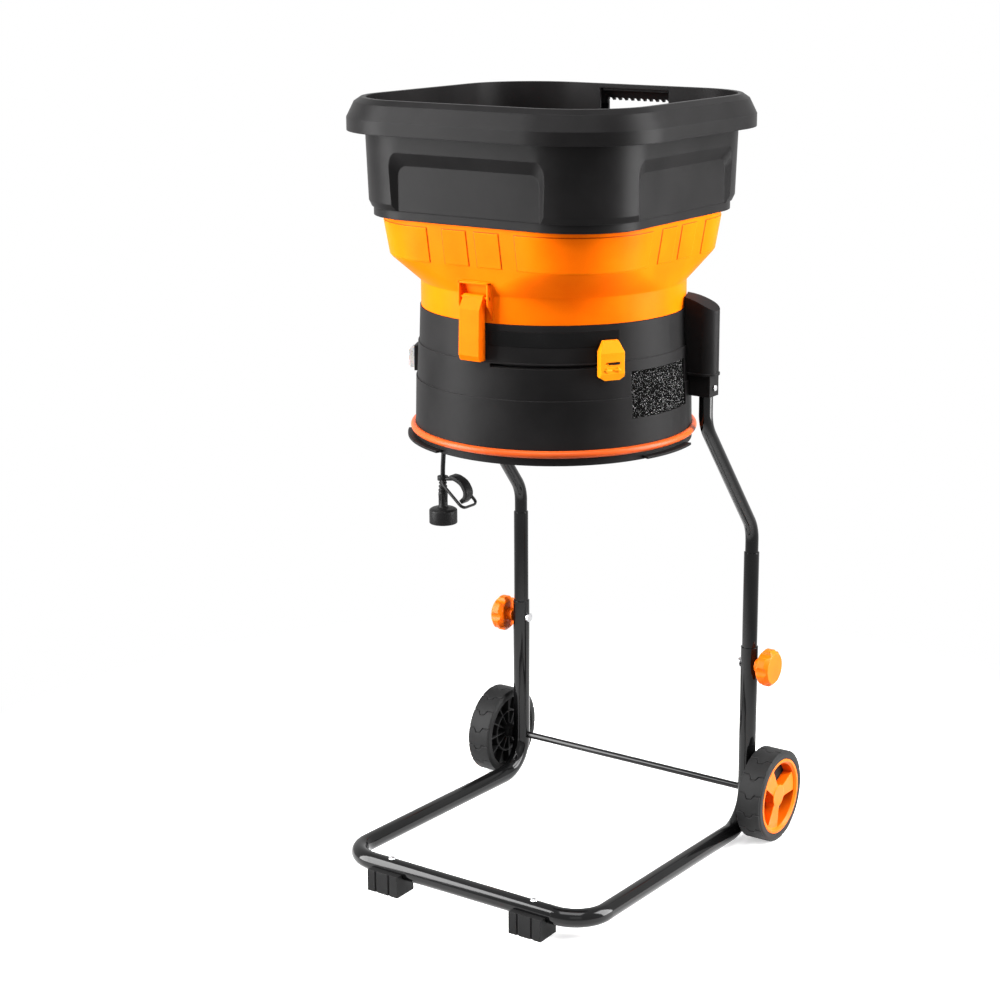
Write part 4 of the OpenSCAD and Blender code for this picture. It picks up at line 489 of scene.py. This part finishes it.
def torn_cells(given):
    """The block with small stretched lumps scattered over its outer face."""
    block = given["Geometry"]
    here = block.node("GeometryNodeInputPosition")
    level = here.node("ShaderNodeVectorMath", {"operation": "MULTIPLY"}, {0: here, 1: (1, 1, 0)})
    out = level.node("ShaderNodeVectorMath", {"operation": "DISTANCE"},
                     {0: level, 1: given["Middle"]}, "Value")
    outside = out.node("FunctionNodeCompare", {}, {0: out, 1: given["Out"]})
    points = block.node("GeometryNodeDistributePointsOnFaces", {}, {
        "Mesh": block, "Selection": outside, "Density": given["Density"], "Seed": given["Seed"]})
    lump = block.node("GeometryNodeMeshIcoSphere", {}, {"Radius": given["Size"], "Subdivisions": 1})
    stretch = block.node("FunctionNodeRandomValue", {"data_type": "FLOAT_VECTOR"}, {
        0: cell_least, 1: cell_most, "Seed": given["Seed"]})
    turn = block.node("FunctionNodeRandomValue", {"data_type": "FLOAT_VECTOR"}, {1: cell_turn})
    lumps = block.node("GeometryNodeInstanceOnPoints", {}, {
        "Points": points, "Instance": lump, "Scale": stretch, "Rotation": turn})
    return block.node("GeometryNodeJoinGeometry", {}, {0: [block, lumps]})


foam = grown(shaped("intake_foam_block", [slab(grids[0], grids[1])], foam_black), "foam_cells", torn_cells,
             Density=cells_per_m2, Size=cell_r, Out=foam_out_r - cells_in, Middle=(0.0, drum_y, 0.0), Seed=5)
fitted(foam, "upper", "intake_foam", "intake_foam")


# Mulch tab: the shutter's grip outside the drum, moulded in a lighter orange plastic and fixed on the lug
# that comes out through the drum's slot. Two raised arrows show the ways that it slides. Above them a thin
# black plate on the tab's face is painted shade, the dark of the slit there
def prism(outline, low, high, axis, soft):
    """A prism on an outline across an axis (0 to 2 for X to Z), its edges bevelled by soft."""
    others = [k for k in range(3) if k != axis]
    solid = bmesh.new()
    ends = []
    for level in (low, high):
        end = []
        for a, b in outline:
            spot = [0.0, 0.0, 0.0]
            spot[axis], spot[others[0]], spot[others[1]] = level, a, b
            end.append(solid.verts.new(spot))
        ends.append(end)
    count = len(outline)
    solid.faces.new(ends[0])
    solid.faces.new(list(reversed(ends[1])))
    for k in range(count):
        after = (k + 1) % count
        solid.faces.new((ends[0][after], ends[0][k], ends[1][k], ends[1][after]))
    bmesh.ops.recalc_face_normals(solid, faces=solid.faces)
    bmesh.ops.bevel(solid, geom=solid.edges[:], offset=soft, segments=2, profile=0.5, affect="EDGES")
    solid.verts.index_update()
    vertices = np.array([v.co[:] for v in solid.verts])
    faces = [tuple(v.index for v in face.verts) for face in solid.faces]
    solid.free()
    return vertices, faces


tab_orange = coated("tab_orange", (0.86, 0.2, 0.002), (0.95, 0.28, 0.003), roughness=0.36, spread=0.1,
                    grain=0.0012, depth=0.00003, edge=0.0008, Specular_IOR_Level=0.1)
dress(tab_orange, "mulch_tab")
tab_angle = math.radians(55.6)
tab_out = np.array((math.sin(tab_angle), -math.cos(tab_angle), 0))
tab_across = np.array((math.cos(tab_angle), math.sin(tab_angle), 0))
tab_face_r, tab_sink = 0.1982, 0.0005
arrow_z, arrow_lift, arrow_soft = 0.7445, 0.0011, 0.00015
arrow_tail, arrow_neck, arrow_tip, arrow_shaft_half, arrow_half = 0.002, 0.0072, 0.0116, 0.0011, 0.0034
arrow = [(arrow_tail, -arrow_shaft_half), (arrow_neck, -arrow_shaft_half), (arrow_neck, -arrow_half),
         (arrow_tip, 0.0), (arrow_neck, arrow_half), (arrow_neck, arrow_shaft_half),
         (arrow_tail, arrow_shaft_half)]
# The slit's painted shade: a thin black plate just proud of the tab's face
slit_shade_z, slit_shade_half, slit_shade_from, slit_shade_to = 0.753, 0.0011, -0.0055, 0.0097
slit_shade_lift, slit_shade_soft = 0.0008, 0.0001


def on_tab(outline, lift, soft):
    """A prism on the tab's face, its outline given across and up."""
    vertices, faces = prism(outline, tab_face_r - tab_sink, tab_face_r + lift, 1, soft)
    return (vertices[:, :1] * tab_across + vertices[:, 1:2] * tab_out
            + vertices[:, 2:] * (0, 0, 1) + (0, drum_y, 0)), faces


arrows = [on_tab([(sign * a, b + arrow_z) for a, b in arrow], arrow_lift, arrow_soft) for sign in (1, -1)]
fitted(shaped("tab_arrows", arrows, tab_orange), "mulch_control", "orange_plastic")
# Painted shade of the slit, in the label's black
slit_shade = [(slit_shade_from, slit_shade_z - slit_shade_half), (slit_shade_to, slit_shade_z - slit_shade_half),
          (slit_shade_to, slit_shade_z + slit_shade_half), (slit_shade_from, slit_shade_z + slit_shade_half)]
fitted(shaped("tab_slit_shade", [on_tab(slit_shade, slit_shade_lift, slit_shade_soft)], label_black),
       "mulch_control", "black_plastic")

# Switch boot: a soft cover of milky clear rubber, which keeps rain off the rocker. It is one thin
# moulding over the switch's bezel
boot_clear = coated("boot_clear", (0.62, 0.61, 0.58), (0.8, 0.79, 0.76), roughness=0.3, spread=0.1,
                    grain=0.0008, depth=0.00003, edge=0.0008, Transmission_Weight=0.45,
                    Subsurface_Weight=0.2)
dress(boot_clear, "switch_boot")


# Lead: a short round flex with a rubber sheath, moulded into the gland above and the shrouded plug below.
# It hangs under the drum by its own weight. A black plastic clip round its ribbed relief carries a
# curved paddle and a thin bail, which hold the loop of an extension lead
def oval(half_out, half_across, count):
    """A section for swept(), as points round an oval."""
    return [(half_out * math.cos(a), half_across * math.sin(a))
            for a in np.linspace(0, 2 * math.pi, count, endpoint=False)]


def swept(path, section, across=(0, 1, 0)):
    """Vertices and faces of a section of (out, across) points carried along a path."""
    path = np.array(path, float)
    across = np.array(across, float)
    rows = []
    for i, spot in enumerate(path):
        along = path[min(i + 1, len(path) - 1)] - path[max(i - 1, 0)]
        out = np.cross(along, across)
        out /= np.linalg.norm(out)
        wide = np.cross(out, along)
        wide /= np.linalg.norm(wide)
        rows.append([spot + a * out + b * wide for a, b in section])
    count = len(section)
    faces = [(i * count + k, i * count + (k + 1) % count, (i + 1) * count + (k + 1) % count,
              (i + 1) * count + k) for i in range(len(path) - 1) for k in range(count)]
    faces += [tuple(range(count)), tuple(range((len(path) - 1) * count, len(path) * count))]
    return np.vstack(rows), faces


rubber = coated("cord_rubber", (0.0035, 0.0034, 0.0035), (0.01, 0.0098, 0.01), roughness=0.42, spread=0.12,
                grain=0.0007, depth=0.00004, edge=0.0006, Specular_IOR_Level=0.1)
lead_d = 0.0066
lead_top = Vector((-0.1684, -0.0437, 0.640))
lead_l = 0.099
lead_bow = 0.3 * lead_d
lead_sway = lead_bow / 3
lead_points = 25
lead_curve = bpy.data.curves.new("lead", "CURVE")
lead_curve.dimensions = "3D"
lead_curve.bevel_depth = lead_d / 2
lead_curve.bevel_resolution = 6
lead_line = lead_curve.splines.new("POLY")
lead_line.points.add(lead_points - 1)
for i, point in enumerate(lead_line.points):
    share = i / (lead_points - 1)
    swing = math.sin(math.pi * share) ** 2
    point.co = (*(lead_top + Vector((lead_bow * swing, lead_sway * swing, -lead_l * share))), 1)
lead_curve.materials.append(rubber)
lead = fitted(placed("lead", lead_curve), "upper", "cord_rubber", "power_cord")

around = np.linspace(0, 2 * math.pi, 64, endpoint=False)
grip_n, grip_share = 10, 0.06


def turned(line, ridges=()):
    """A closed skin round the lead's axis from a line of (radius, height), ridged on some of its rows."""
    rows = []
    for i, (r, z) in enumerate(line):
        grip = 1 + (i in ridges) * grip_share * np.cos(grip_n * around)
        rows.append(np.column_stack([lead_top.x + r * grip * np.cos(around),
                                     lead_top.y + r * grip * np.sin(around), np.full(around.size, z)]))
    return loft(rows)


plug_bore_r, shroud_in_r, plug_r, neck_least_r = 0.0004, 0.017, 0.02, 0.005
plug_low_z, plug_floor_z, plug_top_z = 0.472, 0.4895, 0.5185
grip_low_z, grip_top_z = 0.499, 0.514
plug_line = eased([
    (plug_bore_r, plug_floor_z), (shroud_in_r, plug_floor_z), (shroud_in_r, plug_low_z),
    (plug_r, plug_low_z), (plug_r, 0.4915), (0.0165, 0.4938), (0.0085, 0.4948), (0.0066, 0.4975),
    (0.0061, 0.505), (0.0063, 0.5125), (0.0068, 0.5155), (0.0058, plug_top_z), (plug_bore_r, plug_top_z),
    (plug_bore_r, plug_floor_z)], radius=0.0012, steps=3)
plug_grip = [i for i, (r, z) in enumerate(plug_line) if r > neck_least_r and grip_low_z < z < grip_top_z]
plug = fitted(shaped("plug_shell", [turned(plug_line, plug_grip)], rubber),
              "upper", "cord_rubber", "plug_body")

relief_in_r, relief_r, relief_taper, relief_low_z = 0.003, 0.0054, 0.0004, 0.518
relief_top_r, relief_top_z, relief_end_z = 0.0041, 0.5405, 0.5412
rib_n, rib_pitch, rib_proud, rib_t, rib_slope = 4, 0.0053, 0.0011, 0.0031, 0.0005
relief_line = [(relief_in_r, relief_low_z)]
for k in range(rib_n):
    core = relief_r - relief_taper * k
    low = plug_top_z + k * rib_pitch
    relief_line += [(core, low), (core + rib_proud, low + rib_slope),
                    (core + rib_proud, low + rib_t - rib_slope), (core, low + rib_t)]
relief_line += [(relief_top_r, relief_top_z), (relief_in_r, relief_end_z), (relief_in_r, relief_low_z)]
relief = fitted(shaped("cord_relief", [turned(eased(relief_line, radius=0.0004, steps=2))], rubber),
                "upper", "cord_rubber", "strain_relief")

clip_z = 0.5375
clip_at = np.array((lead_top.x, lead_top.y, clip_z))
collar_in_r, collar_r, collar_half = 0.0051, 0.0078, 0.003
collar_line = eased([
    (collar_in_r, 0.0), (collar_in_r, collar_half), (collar_r, collar_half), (collar_r, -collar_half),
    (collar_in_r, -collar_half), (collar_in_r, 0.0)], radius=0.0006, steps=3)
arm_path = eased([(0.007, 0, 0.0), (0.014, 0, 0.001), (0.022, 0, 0.0022)], radius=0.004)
paddle_path = eased([
    (0.017, 0, 0.0042), (0.024, 0, 0.004), (0.037, 0, -0.0015), (0.044, 0, -0.0135), (0.043, 0, -0.022),
    (0.036, 0, -0.0285)], radius=0.008, steps=6)
arm_half_t, arm_half_w = 0.003, 0.0042
paddle_half_t, paddle_half_w = 0.0032, 0.0085
bail_half_t, bail_half_w = 0.0017, 0.0024
paddle_section = eased([
    (paddle_half_t, 0.0), (paddle_half_t, paddle_half_w), (-paddle_half_t, paddle_half_w),
    (-paddle_half_t, -paddle_half_w), (paddle_half_t, -paddle_half_w),
    (paddle_half_t, 0.0)], radius=0.0016, steps=3)[:-1]
bail_path = eased([
    (0.004, -0.007, -0.002), (0.006, -0.0095, -0.006), (0.0455, -0.016, -0.0344), (0.0465, 0.018, -0.0344),
    (0.043, 0.006, -0.019)], radius=0.009, steps=8)
bail_across = (0.574, 0, 0.819)
clip = fitted(shaped("cord_clip", [
    turned([(r, clip_z + z) for r, z in collar_line]),
    swept(clip_at + arm_path, oval(arm_half_t, arm_half_w, 16)),
    swept(clip_at + paddle_path, paddle_section),
    swept(clip_at + bail_path, oval(bail_half_t, bail_half_w, 12), bail_across)], rubber),
    "upper", "black_plastic", "cord_hook")
dress(rubber, "cord_gland")


# Funnel: an injection-moulded orange shell, square at the hopper and round at the drum, with shallow
# pads round its band and a walled pocket for each latch. It plugs into the drum. Latches, their pins and
# the switch rocker are of the same plastic
def square_ring(centre, radius, z):
    """One level of a rounded square about the drum's axis: four corner arcs, seen from above."""
    arc = np.linspace(0, math.pi / 2, 26)
    parts = []
    for k, (sx, sy) in enumerate(((1, 1), (-1, 1), (-1, -1), (1, -1))):
        angle = arc + k * math.pi / 2
        parts.append(np.column_stack([sx * centre + radius * np.cos(angle),
                                      sy * centre + radius * np.sin(angle) + drum_y,
                                      np.full(arc.size, z)]))
    return np.vstack(parts)


funnel_orange = coated("funnel_orange", (0.84, 0.115, 0.001), (0.95, 0.165, 0.0015), roughness=0.38,
                       spread=0.1, grain=0.0012, depth=0.00003, edge=0.0008, Specular_IOR_Level=0.015)
# Painted shade: this dark orange draws the thin shadow lines along the edges of the funnel's pads
pad_shadow_orange = coated("pad_shadow_orange", (0.3, 0.035, 0.001), (0.42, 0.05, 0.001), roughness=0.5, spread=0.1,
                     grain=0.0012, depth=0.00002, edge=0.0004, Specular_IOR_Level=0.05)
band_c, band_low_r, band_top_r, band_low_z, band_top_z = 0.080, 0.1065, 0.116, 0.872, 0.9265
neck_r, neck_top_z, shell_t = 0.1794, 0.837, 0.003
spigot_r, spigot_low_z, spigot_mid_z = 0.1774, 0.785, 0.79
funnel_line = eased([
    (0, spigot_r, spigot_mid_z), (0, spigot_r, drum_top_z), (0, neck_r, drum_top_z), (0, neck_r, neck_top_z),
    (band_c, band_low_r, band_low_z), (band_c, band_top_r, band_top_z),
    (band_c, band_top_r - shell_t, band_top_z), (band_c, band_low_r - shell_t, band_low_z),
    (0, neck_r - shell_t, neck_top_z), (0, neck_r - shell_t, drum_top_z),
    (0, spigot_r - shell_t, drum_top_z), (0, spigot_r - shell_t, spigot_low_z), (0, spigot_r, spigot_low_z),
    (0, spigot_r, spigot_mid_z)], radius=0.0022)
parts = [loft([square_ring(c, r, z) for c, r, z in funnel_line])]
pad_lift, pad_edge, pad_sink, pad_low_z, pad_top_z = 0.001, 0.0006, 0.001, 0.8735, 0.9195
pad_near, pad_far, pad_corner = 0.0065, 0.044, 0.068
shadow_line_w, shadow_line_lift = 0.0009, 0.0003
pad_run = np.linspace(-pad_far, -pad_near, 6)
pad_paths = [[(x * sx, -band_c, -math.pi / 2) for x in pad_run[::sx]] for sx in (1, -1)]
corner_run = np.linspace(pad_corner, band_c, 3)[:-1]
pad_paths.append([(x, -band_c, -math.pi / 2) for x in corner_run]
                 + [(band_c, -band_c, a) for a in np.linspace(-math.pi / 2, 0, 24)]
                 + [(band_c, -x, 0.0) for x in corner_run[::-1]])


def band_pads(path, top_z, lift, grow):
    """A slab along a path on the band, raised by lift and drawn out by grow, for each of the four sides."""
    ends = len(path) + 1
    path = [path[0], *path, path[-1]]
    heights = (pad_low_z, pad_low_z + pad_edge, top_z - pad_edge, top_z)
    slabs = []
    for quarter in range(4):
        spin = quarter * math.pi / 2
        grids = np.zeros((2, len(heights), len(path), 3))
        for i, z in enumerate(heights):
            lean = (z - band_low_z) / (band_top_z - band_low_z)
            r = band_low_r + (band_top_r - band_low_r) * lean
            for k, (x, y, a) in enumerate(path):
                rim = i in (0, len(heights) - 1) or k in (0, ends)
                along = pad_edge * ((k == 1) - (k == ends - 1)) + grow * ((k >= ends - 1) - (k <= 1))
                for grid, rise in zip(grids, (0.0 if rim else lift, -pad_sink)):
                    px = x + (r + rise) * math.cos(a) - along * math.sin(a)
                    py = y + (r + rise) * math.sin(a) + along * math.cos(a)
                    grid[i, k] = (px * math.cos(spin) - py * math.sin(spin),
                                  px * math.sin(spin) + py * math.cos(spin) + drum_y, z)
        slabs.append(slab(grids[0], grids[1]))
    return slabs


# Painted shade: a dark orange strip just outside and below each pad stands for the shadow line along its
# edges
pad_shadow_lines = []
for path in pad_paths:
    parts += band_pads(path, pad_top_z, pad_lift, 0.0)
    pad_shadow_lines += band_pads(path, pad_top_z + shadow_line_w, shadow_line_lift, shadow_line_w)
fitted(shaped("pad_shadow_lines", pad_shadow_lines, pad_shadow_orange), "upper", "orange_plastic")
pocket_half, pocket_t, pocket_soft = 0.021, 0.0025, 0.0006
pocket_front, pocket_in, pocket_low_z, pocket_lip_z, pocket_top_z = 0.189, 0.1785, 0.803, 0.825, 0.854
pocket_wall = [(neck_r - shell_t, pocket_low_z), (pocket_front, pocket_lip_z),
               (pocket_front, pocket_top_z), (pocket_in, pocket_top_z)]
pocket_roof = [(pocket_front, pocket_top_z - pocket_t), (pocket_front, pocket_top_z),
               (pocket_in, pocket_top_z), (pocket_in, pocket_top_z - pocket_t)]
for facing in (-1, 1):
    wall, roof = ([(facing * y + drum_y, z) for y, z in outline] for outline in (pocket_wall, pocket_roof))
    for x in (-pocket_half - pocket_t, pocket_half):
        parts.append(prism(wall, x, x + pocket_t, 0, pocket_soft))
    parts.append(prism(roof, -pocket_half - pocket_t, pocket_half + pocket_t, 0, pocket_soft))
fitted(shaped("funnel", parts, funnel_orange), "upper", "orange_plastic", "funnel")
dress(funnel_orange, "latch_front", "latch_back", "latch_pins", "switch_rocker")

# Hopper: a rounded square tub of satin black plastic, moulded in one piece with its rim, side panels and
# hand slot. It plugs into the funnel and lifts off
satin = coated("satin_black", (0.0035, 0.0033, 0.0034), (0.0095, 0.009, 0.0092), roughness=0.4, spread=0.1,
               grain=0.0008, depth=0.00004, edge=0.0018, Specular_IOR_Level=0.055)
dress(satin, "hopper")
